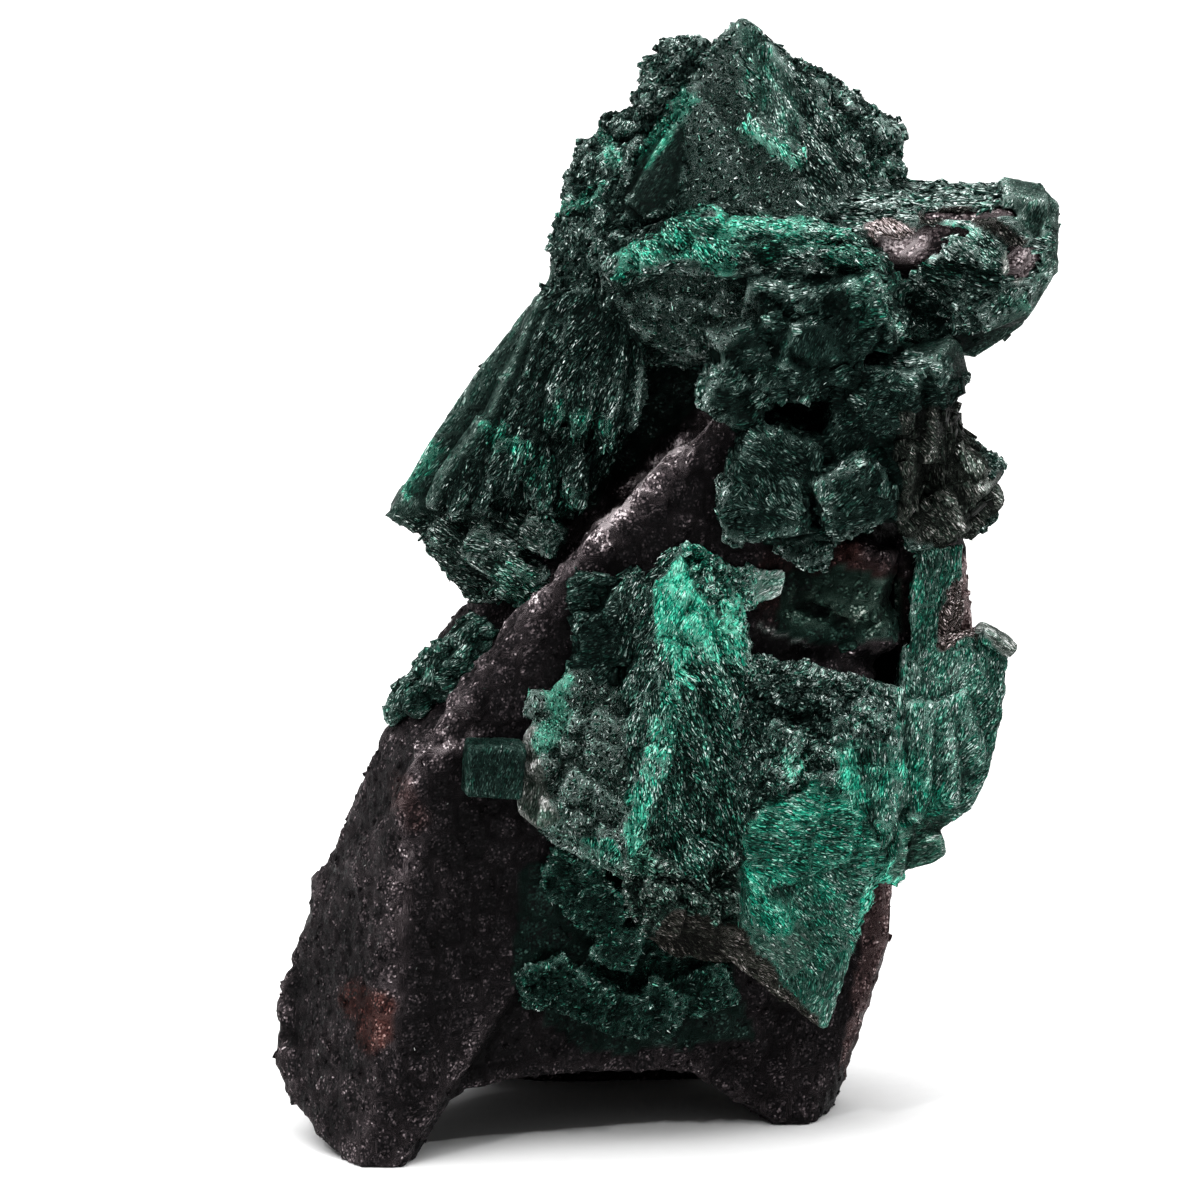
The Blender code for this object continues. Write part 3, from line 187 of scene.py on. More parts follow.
USUAL = dict(patch=2.1, flat=0, crumble=0, contrast=1.0)
STYLES = {
    # grains: how many to a mm², their length, width, lift and sway in degrees.
    # glints: what share of the grains gets a painted glint, a paler and greyer tone.
    # chips: how many to a mm² and their sides.
    # big, small: relief, as its length along the fibres, its width and its height.
    # tilt, groove: how much its faces slope, and how deep the grooves between them are.
    # faces: how far the faces differ in tone. seams: how much paler the seams between them are; below zero,
    # painted shade in the grooves.
    # edges: how much paler the edges that stand out are, and how much darker the gaps, as painted shade.
    # lit: how much paler what faces the light is, as painted light.
    # patch, swing: how wide a tuft is, and how far the fibres turn from one tuft to the next.
    # contrast: that of the fine strokes.
    # flat: 1 where the mesh is shaded flat. crumble: how rough it is then
    "velvet": dict(
        USUAL, grains=44, length=0.38, width=0.052, lift=9, sway=16, glints=0.25, chips=0.2,
        sides=(0.9, 0.2, 0.2), big=(2.2, 0.8, 0.42), small=(0.9, 0.3, 0.18), tilt=0.4, groove=1.0,
        faces=0.08, seams=-0.08, edges=0.09, lit=0.06, swing=20,
    ),
    "fibre": dict(
        USUAL, grains=34, length=0.42, width=0.05, lift=7, sway=10, glints=0.3, chips=0.4,
        sides=(1.5, 0.26, 0.24), big=(3.6, 0.8, 0.28), small=(1.4, 0.34, 0.16), tilt=0.3, groove=1.0,
        faces=0.1, seams=-0.12, edges=0.1, lit=0.07, swing=9,
    ),
    "plush": dict(
        USUAL, grains=40, length=0.4, width=0.042, lift=6, sway=9, glints=0.22, chips=0.05,
        sides=(0.9, 0.2, 0.2), big=(3.2, 1.1, 0.16), small=(1.1, 0.26, 0.1), tilt=0.5, groove=0.6,
        faces=0.1, seams=-0.07, edges=0.1, lit=0.08, swing=14, patch=2.6, contrast=0.68,
    ),
    "grain": dict(
        USUAL, grains=36, length=0.26, width=0.062, lift=20, sway=50, glints=0.28, chips=1.0,
        sides=(0.42, 0.34, 0.3), big=(1.2, 1.0, 0.34), small=(0.5, 0.4, 0.15), tilt=0.9, groove=0.5,
        faces=0.12, seams=-0.12, edges=0.12, lit=0.1, swing=45, patch=0.7, flat=1, crumble=0.35,
        contrast=0.85,
    ),
    "sand": dict(
        USUAL, grains=50, length=0.3, width=0.052, lift=15, sway=65, glints=0.36, chips=0.12,
        sides=(0.4, 0.3, 0.25), big=(1.7, 1.3, 0.08), small=(0.46, 0.36, 0.12), tilt=0.7, groove=0.3,
        faces=0.1, seams=-0.14, edges=0.14, lit=0.08, swing=50, patch=0.5, crumble=0.25, contrast=1.45,
    ),
    "block": dict(
        USUAL, grains=14, length=0.3, width=0.054, lift=3, sway=22, glints=0.4, chips=0.25,
        sides=(1.0, 0.7, 0.5), big=(2.4, 1.7, 0.14), small=(0.9, 0.5, 0.05), tilt=1.2, groove=0.3,
        faces=0.12, seams=-0.08, edges=0.12, lit=0.14, swing=30, patch=1.6, flat=1, crumble=0.04,
        contrast=0.7,
    ),
    "smooth": dict(
        USUAL, grains=7, length=0.28, width=0.05, lift=3, sway=14, glints=0.35, chips=0.02,
        sides=(1.0, 0.5, 0.12), big=(2.5, 1.5, 0.06), small=(1.2, 0.45, 0.04), tilt=0.4, groove=0.3,
        faces=0.05, seams=-0.03, edges=0.14, lit=0.12, swing=10, contrast=0.5,
    ),
    "rock": dict(
        USUAL, grains=14, length=0.2, width=0.1, lift=25, sway=90, glints=0.03, chips=0.5,
        sides=(0.36, 0.3, 0.22), big=(1.9, 1.6, 0.22), small=(0.8, 0.6, 0.1), tilt=0.9, groove=0.05,
        faces=0.08, seams=0.0, edges=0.1, lit=0.07, swing=60,
    ),
}
STYLE_NAMES = list(STYLES)


def asked(style, key):
    """What each point's style says about one thing."""
    return np.array([STYLES[name][key] for name in STYLE_NAMES], float)[style]


# Regions: style, tone, grey, warm, flow (degrees, or the place it runs from), outline. Tone goes from
# 0 for black to 1 for white, grey from 0 for green to 1 for grey, and warm from 0 to 1 for brown. They
# are set one by one.
UPPER_REGIONS = [
    # The pyramid: left lobe, face, dark slab, right lobe
    ("grain", 0.3, 1.0, 0.0, 240, [(5.2, 82), (3.6, 80), (0.2, 79.6), (-2.8, 74.8), (-7.2, 71.4),
     (-8.4, 66), (-8.8, 61.2), (-4.6, 61.5), (-3, 66), (-0.9, 71), (1.5, 75.6), (4, 78)]),
    ("sand", 0.05, 0.8, 0.0, 250, [(4, 78.2), (5.2, 82), (5.3, 72.8), (9, 70), (9.4, 66.8), (1.2, 66.6),
     (0.9, 67), (1.5, 69.9), (0.4, 72.9), (1.5, 75.6)]),
    ("smooth", 0.05, 1.0, 0.1, 235, [(0.7, 73), (-0.9, 71.8), (-2.9, 68.8), (-3.1, 67), (-1.8, 66.6),
     (0.4, 67.9), (1.1, 70)]),
    ("fibre", 0.4, 1.0, 0.0, -58, [(5.2, 82), (8.6, 77.2), (16.2, 71), (15.8, 67.6), (13.4, 66.4),
     (9.4, 66.8), (9, 70), (5.3, 72.8)]),
    ("grain", 0.4, 0.8, 0.0, -50, [(10.2, 77), (16.4, 72), (16.4, 67.6), (14, 67.8), (12.4, 72)]),
    # The ledge and what hangs under it
    ("velvet", 0.25, 1.0, 0.0, 40, [(-5.2, 62.2), (-2.2, 65.8), (1.4, 67.4), (3, 67), (2.8, 63),
     (0.5, 62.8), (-3, 61)]),
    ("velvet", 0.35, 1.0, 0.0, -14, [(2.8, 67.2), (7, 67.2), (13, 65.8), (16.2, 63.2), (15, 61.9),
     (10, 62.6), (5, 62.6), (2.8, 63)]),
    ("sand", 0.05, 0.8, 0.0, -35, [(-5.2, 62), (-3, 61), (0.5, 62.8), (6, 62.6), (6.5, 60), (4, 57.2),
     (2.3, 56.2), (-0.7, 57.2), (-5.2, 58.6)]),
    # The prong
    ("fibre", 0.5, 1.0, 0.0, -6, [(11, 67), (14, 69.5), (24, 69), (28, 68), (28, 63), (25.4, 64.2),
     (23.6, 66.2), (17.6, 66.2), (12, 65.6)]),
    ("fibre", 0.3, 1.0, 0.0, -22, [(15.5, 66.2), (23.8, 66.4), (24.4, 62.2), (21, 60.6), (15.6, 61)]),
    ("grain", 0.45, 1.0, 0.0, 20, [(15.2, 61.6), (21, 61), (28, 62.5), (26, 59.5), (22.4, 56.5), (18.6, 56),
     (16.4, 58.2)]),
    # The blades and the crystals at their foot
    ("smooth", 0.3, 1.0, 0.1, 55, [(-8, 63), (-13.6, 56.6), (-20, 48), (-20, 45.6), (-17.9, 44.4),
     (-15.5, 45.6), (-11.9, 53), (-8.8, 59.4)]),
    ("fibre", 0.15, 1.0, 0.0, (6.0, 80.0), [(-8.6, 61.8), (-4, 61), (-2, 58), (-1.8, 53), (-3.4, 50.2),
     (-6, 45.6), (-9.8, 45.2), (-17, 45.6), (-11.9, 53), (-8.8, 59.4)]),
    ("velvet", 0.3, 0.9, 0.1, -20, [(-19, 46), (-15.5, 46), (-9, 45.6), (-8.6, 42), (-10, 39.6),
     (-14.2, 38.6), (-17.5, 42.5)]),
    # The block crystals
    ("block", 0.15, 1.0, 0.0, 30, [(3.6, 62.6), (15.4, 62.4), (17, 57.6), (20.6, 57.2), (20.8, 50),
     (16.2, 45.4), (10, 44), (3.6, 43.8), (4.4, 52.4), (2.4, 53.4), (2, 56.4), (4.2, 57.6), (6.5, 60)]),
    ("block", 0.3, 1.0, 0.0, 20, [(5.2, 61.5), (8.5, 62.4), (9.8, 60.8), (8.6, 59.3), (6.2, 60.2)]),
    ("block", 0.35, 0.6, 0.0, 15, [(11.8, 62.2), (16.4, 62.6), (17.2, 58.4), (13, 58.6)]),
    ("smooth", 0.25, 1.0, 0.0, 60, [(7, 58.4), (11.8, 58.8), (12, 56.4), (8, 55.8)]),
    ("block", 0.35, 1.0, 0.0, 25, [(2.6, 55.8), (4.6, 57.4), (8.8, 56), (8.6, 54.2), (3, 53.6)]),
    ("block", 0.3, 1.0, 0.0, 10, [(12.6, 54.6), (15.4, 54.8), (15.2, 52.6), (12.8, 52.4)]),
    ("block", 0.4, 1.0, 0.0, 5, [(15.4, 57), (20.2, 57.2), (20, 54.6), (15.8, 54.2)]),
    ("block", 0.2, 1.0, 0.0, -52, [(4.4, 50.8), (6.4, 52.2), (9.4, 51), (10.1, 46.8), (8.4, 44.3),
     (4.8, 45.6)]),
    ("block", 0.35, 1.0, 0.0, 40, [(10.2, 47.4), (12.6, 50), (14.9, 49.2), (14.8, 45.6), (10.4, 45)]),
    ("block", 0.25, 0.8, 0.6, -60, [(16.2, 53), (20.3, 53.5), (21.8, 50), (24, 46.8), (21, 43.2),
     (16, 44)]),
    # Patches on the prong
    ("fibre", 0.6, 1.0, 1.0, -35, [(13.4, 66), (15.6, 66.5), (17.3, 65.2), (18, 64), (16.6, 63.8),
     (15.2, 64.6), (14, 65.2)]),
    ("rock", 0.05, 1.0, 0.7, 5, [(17.4, 66.9), (21, 67), (22.8, 66.3), (24.9, 64.9), (24.3, 64.3),
     (22.2, 65.5), (19.6, 66.1), (17.4, 66.1)]),
    ("velvet", 0.5, 0.8, 0.0, -20, [(18.4, 65.8), (20.6, 66), (22.5, 65.2), (23.3, 64.2), (22.8, 62.8),
     (21.2, 63.6), (19.4, 64.4)]),
    ("smooth", 0.55, 1.0, 0.5, 60, [(23.4, 64.2), (25.8, 63.3), (24.6, 61.8), (23.2, 62.5)]),
    ("smooth", 0.45, 1.0, 0.1, 70, [(26.2, 68.3), (27.4, 67.4), (28.2, 66), (26.6, 66.2)]),
    # The green top of the ledge, and of the right lobe
    ("velvet", 0.4, 0.2, 0.0, -35, [(-4.2, 62.6), (-1.6, 65.2), (1, 66.9), (3.2, 66.6), (5.4, 64.6),
     (4.2, 63), (1.8, 63.4), (-0.8, 63)]),
    ("velvet", 0.5, 0.4, 0.0, -22, [(3, 66.8), (7.5, 66.6), (12.6, 65.6), (14.4, 63.8), (12.4, 63.6),
     (8.2, 64.6), (5, 65)]),
    ("plush", 0.55, 0.8, 0.0, -82, [(5.4, 80.4), (8, 77.6), (9.2, 74.6), (8.8, 71.4), (6.8, 72.4),
     (6, 76)]),
    # The prong's end and its lower rim
    ("smooth", 0.45, 1.0, 0.1, 60, [(22.8, 69), (25.4, 70.4), (28.4, 68.4), (28.2, 65.8), (25.8, 65.2),
     (23.4, 66.6)]),
    ("smooth", 0.3, 1.0, 0.1, 40, [(16.5, 57.4), (20.5, 55.8), (25.6, 58.6), (29, 63), (28.4, 66),
     (27, 65.6), (25.6, 61.6), (22.4, 58.8), (18.4, 58)]),
]

FAN_REGIONS = [
    # The ridge and its two sides
    ("velvet", 0.75, 0.0, 0.0, 250, [(-1.5, 45), (3.5, 45), (3.5, 42), (-1.5, 42)]),
    ("velvet", 0.4, 0.7, 0.0, (1.5, 47.0), [(0.6, 44.8), (-1.4, 43.4), (-2.4, 38), (-4.8, 35.4), (-4.4, 30),
     (-3.9, 20.4), (-1.4, 21), (-0.6, 28), (0.4, 34), (1.2, 40)]),
    ("velvet", 0.7, 0.1, 0.0, (-1.5, 46.5), [(0.6, 44.8), (3.9, 42.8), (6, 37), (5.4, 31), (2.4, 25),
     (-1.4, 21), (-0.6, 28), (0.4, 34), (1.2, 40)]),
    # The dark crystals and the plate left of it
    ("block", 0.15, 1.0, 0.0, 210, [(-8.4, 42.6), (-2, 42.4), (-2.4, 36), (-4.4, 33.6), (-7.6, 33.6)]),
    ("sand", 0.25, 0.7, 0.1, 250, [(-11.6, 28), (-10.9, 31.9), (-8.8, 34.9), (-5.4, 34.9), (-3.6, 33),
     (-3, 26), (-3, 20), (-5.6, 21), (-8, 22), (-11.2, 24.6)]),
    ("smooth", 0.55, 1.0, 0.5, 262, [(-11.8, 22.8), (-7.8, 24.2), (-8.6, 26.2), (-9.4, 29.2), (-9.2, 30.6),
     (-10.6, 31.2), (-11.8, 31)]),
    # The chunky foot and middle
    ("grain", 0.3, 0.6, 0.25, -40, [(-3.8, 20.6), (-1, 24), (4.4, 25), (5.2, 20.5), (4.9, 16.6),
     (3.6, 13.8), (0.3, 14.2), (-2.6, 16.2), (-4, 18.6)]),
    ("fibre", 0.4, 0.5, 0.0, -62, [(1.4, 35.6), (6.6, 35.6), (8, 30), (8, 24), (5.2, 22.4), (2, 20),
     (-1, 22), (-0.4, 28)]),
    ("grain", 0.45, 0.8, 0.0, 265, [(5.4, 36), (12, 36), (16.5, 36), (16.6, 26), (14.4, 22.4), (9, 22.6),
     (5, 25), (4.5, 30)]),
    ("plush", 0.5, 0.5, 0.0, 268, [(11.6, 30), (16.3, 30), (16.8, 22.4), (14.5, 21.4), (11.4, 24)]),
    # The right lobe
    ("plush", 0.55, 0.6, 0.0, (16.6, 24.0), [(16, 38), (21.6, 38.6), (24.6, 37), (24.3, 31.4), (23.2, 27.4),
     (21.6, 24.4), (18.8, 22.8), (15.8, 21.2), (15.8, 29)]),
    ("grain", 0.4, 1.0, 0.0, 200, [(5.8, 33), (7.6, 36.2), (12.2, 36), (13.6, 33), (12, 31), (8, 30.6)]),
    # The wedge
    ("plush", 0.55, 0.2, 0.0, -8, [(4.6, 22.5), (6.4, 25.4), (10.2, 27.2), (13.6, 25), (15.2, 21.5),
     (12, 19.6), (8, 20), (5, 19)]),
    ("plush", 0.55, 0.4, 0.0, (4.6, 24.0), [(4.8, 20.8), (8, 20.2), (15.2, 21.2), (13.6, 18.8),
     (12.9, 14.2), (11.2, 9.2), (7.6, 12.9), (4.9, 16.6)]),
    ("plush", 0.3, 0.7, 0.8, -40, [(4.9, 16.8), (7.6, 13.2), (11, 9.4), (9, 9.4), (3, 13.8), (-2, 15.6),
     (0.6, 18.4)]),
    # The strip that climbs from the lobe
    ("plush", 0.5, 0.5, 0.0, 262, [(16.6, 35.6), (20.8, 37.2), (21, 44.4), (17, 44), (16.4, 40)]),
    # The knob and the ridge's top
    ("smooth", 0.7, 0.8, 0.1, 215, [(4.4, 44.2), (5.8, 45), (8.6, 41.8), (7.9, 39.6), (5, 38.4),
     (3.2, 41.4)]),
    ("grain", 0.8, 0.5, 0.0, 250, [(2.2, 45.6), (5.2, 45.2), (5.6, 43), (3, 43)]),
    ("grain", 0.6, 0.5, 0.0, 240, [(1.2, 43.2), (3.2, 43.5), (5.9, 42.8), (6.3, 39.9), (5.2, 37.4),
     (4, 37.4), (3.4, 38.6), (1.9, 40.4)]),
    ("velvet", 0.3, 0.8, 0.0, 250, [(-3.4, 41.4), (-1.2, 42.8), (-0.6, 41.8), (-1.2, 38), (-1.8, 35.6),
     (-3.6, 35.6)]),
    ("plush", 0.8, 0.0, 0.0, 250, [(-0.2, 42.1), (1.1, 42.9), (1.9, 40.3), (3.5, 37.8), (1.8, 37),
     (-1.2, 37.8), (-1, 39.9)]),
    # The lobe's rim, and the rock beside the strip
    ("smooth", 0.45, 1.0, 0.4, -35, [(20.2, 39.8), (22.4, 39.4), (24.6, 37), (25.2, 35.8), (23.8, 35.7),
     (21.8, 37.5), (20.2, 38.5)]),
    ("rock", 0.35, 1.0, 1.0, 80, [(18.9, 35.8), (18.9, 37.9), (19.2, 40.3), (20, 41.4), (21.8, 41.2),
     (21.4, 36.8), (20.9, 37)]),
    # The wedge's bright edge and growth lines
    ("plush", 0.55, 0.0, 0.0, -48, [(5, 21), (5.9, 20.9), (7.2, 19.2), (8.8, 17), (8, 16.1), (6.8, 16.2),
     (5.5, 18.4)]),
    ("smooth", 0.55, 0.6, 0.15, -40, [(5, 17.7), (6.8, 16.1), (8.1, 16), (9, 17), (10.6, 16.1), (9.5, 14.1),
     (8.4, 13.2), (6.2, 15.2)]),
    ("smooth", 0.5, 0.6, 0.0, 250, [(12.6, 15.4), (12.4, 13.5), (11.6, 10.4), (10.8, 9.4), (9, 11.7),
     (9.6, 13), (10.9, 14.2)]),
    ("smooth", 0.45, 0.5, 0.2, 10, [(16.4, 24.2), (19.6, 24.4), (20.2, 22), (17.4, 20.6), (15.6, 20.4)]),
    ("velvet", 0.6, 0.1, 0.0, 250, [(-6.4, 23.6), (-3.7, 23.2), (-3.6, 21.4), (-5, 21.4)]),
]

EVERYWHERE = [(-40, -5), (40, -5), (40, 90), (-40, 90)]
SKIRT_REGIONS = [("grain", 0.16, 0.58, 0.0, 20, EVERYWHERE)]
CUBE_REGIONS = [("smooth", 0.24, 1.0, 0.0, 80, EVERYWHERE)]
CRUST_REGIONS = [("block", 0.27, 0.85, 0.0, 40, EVERYWHERE)]
ROCK_REGIONS = [
    # On the rock the second number says how green it is.
    ("rock", 0.28, 0.0, 0.04, 50, EVERYWHERE),
    ("rock", 0.33, 0.0, 0.05, 70, [(-18.9, 26), (-22, 28), (-30, 12), (-30, -5), (-21.5, -5), (-21, 4),
     (-18.6, 12), (-18.2, 20)]),
    ("rock", 0.49, 0.0, 0.35, 80, [(12, 5), (14, 22), (20, 22), (20, -5), (13.6, -5)]),
    ("smooth", 0.36, 0.0, 0.1, 10, [(11, 67), (13, 68), (20, 68), (26, 67), (26, 61), (14, 62)]),
    ("rock", 0.62, 0.0, 0.35, 80, [(18.4, 36), (19, 44), (22, 42), (22, 36)]),
    ("block", 0.3, 0.7, 0.1, 20, [(7.6, 41.4), (12, 42), (16.2, 41.2), (16.4, 37.4), (13.4, 36.2),
     (8, 37.4)]),
    ("rock", 0.24, 0.6, 0.0, 20, [(-10.5, 21.5), (-4, 20), (4, 14), (6, 9), (-6, 8), (-11, 13)]),
    ("rock", 0.22, 0.45, 0.0, 20, [(-2, 62), (3, 60), (3, 54), (-2, 50), (-6, 46), (-8, 50)]),
]

# Marks: tone, grey, rise, half width, softness, the line through them
UPPER_MARKS = [
    (0.3, 0.1, 0.1, 0.45, 0.5, [(1.2, 75), (0.2, 73.2), (-1.75, 70.5)]),
    (0.3, 0.6, 0.1, 0.6, 0.9, [(5.6, 79), (6.4, 74.4)]),
    (0.6, 0.3, 0.1, 0.26, 0.7, [(5.3, 72.5), (7.4, 71.4), (8.7, 70.4)]),
    (0.05, 0.9, -0.2, 0.2, 0.3, [(7, 69.9), (9.9, 69.5)]),
    (0.6, 0.3, 0.0, 0.35, 0.5, [(-4.5, 71.9), (-4.1, 70.2)]),
    (0.45, 0.3, 0.0, 0.3, 0.5, [(-6.9, 67.3), (-5, 68.4)]),
    (0.4, 0.1, 0.2, 0.45, 0.7, [(-3.4, 62.8), (-1.4, 64.2), (0.4, 64.6)]),
    (0.3, 0.1, 0.3, 0.55, 0.6, [(0.4, 64.8), (2.4, 63.6), (4.2, 63.4)]),
    (0.2, 0.3, 0.2, 0.2, 0.4, [(0.2, 66.4), (2.4, 64.8)]),
    (0.55, 0.2, 0.3, 0.22, 0.4, [(2.9, 66.5), (5.4, 65.8), (9.6, 65.9)]),
    (0.9, 0.0, -0.3, 0.15, 0.3, [(3.4, 65.4), (6.4, 65), (10.4, 65)]),
    (0.25, 0.4, 0.3, 0.24, 0.4, [(5, 64.7), (9.5, 64.4), (13.4, 63)]),
    (0.1, 0.3, -0.3, 0.15, 0.3, [(6, 63.9), (10.2, 63.5), (12.6, 62.6)]),
    (0.35, 0.4, 0.2, 0.3, 0.5, [(10.2, 65.4), (14.6, 63.2)]),
    (0.65, 0.7, 0.0, 0.3, 0.6, [(15.3, 61.6), (16.6, 57.8)]),
    (0.3, 0.2, 0.1, 0.5, 0.8, [(-12.2, 51.4), (-10.2, 49.9)]),
    (0.2, 0.3, 0.1, 0.35, 0.6, [(-8, 52.6), (-4.2, 51.7)]),
    (0.25, 0.5, 0.0, 0.7, 1.0, [(-9.2, 48.6), (-7.4, 46.6)]),
    (0.45, 0.2, 0.0, 0.4, 0.8, [(-18.2, 48), (-16.6, 50.2)]),
    (0.35, 0.4, 0.0, 0.25, 0.5, [(23.6, 60.7), (24.9, 60.3)]),
    (0.4, 0.7, 0.0, 0.3, 0.5, [(26.4, 65), (25.9, 62)]),
    (0.5, 1.0, 0.0, 1.2, 1.5, [(1, 55.2), (-0.8, 54)]),
    (0.5, 1.0, -0.2, 0.8, 0.8, [(16.9, 60.2), (18.6, 60)]),
    (0.35, 0.4, 0.0, 0.9, 1.0, [(-11.2, 41.4), (-10.4, 40.8)]),
    (0.3, 1.0, 0.0, 0.7, 0.8, [(11.2, 48.2), (13.6, 47)]),
    (0.35, 1.0, -0.5, 0.8, 0.5, [(5.8, 53.5), (10.2, 53.3)]),
    (0.3, 0.9, 0.1, 0.12, 0.3, [(3.2, 55.9), (5.6, 56.9)]),
    (0.05, 1.0, 0.1, 0.12, 0.3, [(6.4, 54.2), (8.7, 54.4)]),
    (0.4, 1.0, 0.1, 0.15, 0.3, [(13.6, 53.6), (14.8, 53)]),
    (0.25, 1.0, 0.1, 0.12, 0.3, [(5.4, 61.6), (8.4, 62.3), (9.6, 61)]),
    (0.15, 1.0, 0.1, 0.15, 0.3, [(14.9, 49), (14.8, 45.8), (11, 45.2)]),
    (0.55, 0.6, 0.1, 0.15, 0.4, [(20.2, 50.2), (23.2, 47), (21.4, 44.8)]),
    # Painted shade: a dark line along the crack in the prong.
    (0.05, 0.5, -0.3, 0.3, 0.4, [(15.7, 63.4), (19, 62.9), (22.6, 62.4)]),
    (0.45, 1.0, -0.3, 0.6, 0.6, [(16.2, 61), (18.6, 59.6)]),
    (0.45, 1.0, -0.2, 0.18, 0.3, [(13.2, 66.9), (17.4, 66.9)]),
    (0.95, 0.5, 0.1, 0.3, 0.4, [(18.9, 65.6), (21, 65.2)]),
    (0.6, 1.0, 0.1, 0.15, 0.3, [(27.4, 65.8), (26.8, 62.4), (25.2, 60.4)]),
    (0.95, 1.0, 0.0, 0.15, 0.2, [(18.5, 63.9), (19.2, 63.9)]),
    # Painted shade: dark lines in the gaps between the block crystals.
    (0.1, 1.0, -0.4, 0.14, 0.25, [(6.5, 60.6), (8.5, 59.7), (10.2, 59.9), (12.1, 59.2)]),
    (0.1, 1.0, -0.4, 0.14, 0.25, [(5.5, 59.6), (6.5, 58.2), (7.1, 57.4), (8.7, 56.5)]),
    (0.1, 1.0, -0.4, 0.14, 0.25, [(8.9, 56.4), (10.2, 55.7), (12.9, 56), (14.2, 56.4), (15, 58.5)]),
    (0.1, 1.0, -0.3, 0.12, 0.25, [(4.6, 57), (5.2, 55.4), (6.4, 54.4)]),
    # Painted highlights: pale lines along the block crystals' edges.
    (0.4, 1.0, 0.1, 0.1, 0.2, [(6, 62.1), (7.6, 62.5), (9.3, 62.3)]),
    (0.45, 1.0, 0.1, 0.1, 0.2, [(6.8, 58.8), (8.7, 59.2), (10.5, 59.6)]),
    (0.35, 1.0, 0.1, 0.1, 0.2, [(10.8, 58.8), (11.3, 56.4)]),
    (0.45, 0.9, 0.1, 0.1, 0.2, [(5.4, 56.4), (6.8, 56.6), (8.2, 56.1)]),
]

TOP_LUMPS = [
    # Small lumps at the top, on its left lobe and then on its right one: across, up, tone
    (-0.5, 78.5, 0.2), (1.5, 78.9, 0.5), (2.2, 77.6, 0.05), (-0.8, 77.2, 0.1), (1.0, 76.5, 0.05),
    (-1.5, 75.9, 0.25), (-2.4, 75.0, 0.15), (-0.6, 74.6, 0.3), (-3.8, 73.0, 0.05), (-2.5, 72.4, 0.3),
    (9.6, 76.2, 0.1), (10.9, 75.3, 0.4), (12.3, 74.5, 0.6), (13.6, 73.8, 0.35), (14.8, 72.5, 0.35),
    (15.2, 71.0, 0.5), (13.1, 72.2, 0.15), (11.1, 73.4, 0.2),
]
LUMP_RISE = 0.45
LUMP_HALVES = (0.30, 0.36, 0.42)
LUMP_SOFT = 0.5
LUMP_LENGTHS = (0.5, 0.3)
RIGHT_LOBE = 5.0  # the lobe right of this is a little greener
for step, (across, up, tone) in enumerate(TOP_LUMPS):
    grey = 0.9 if across > RIGHT_LOBE else 1.0
    line = [(across, up), (across + LUMP_LENGTHS[step % 2], up - 0.2)]
    UPPER_MARKS.append((tone, grey, LUMP_RISE, LUMP_HALVES[step % 3], LUMP_SOFT, line))

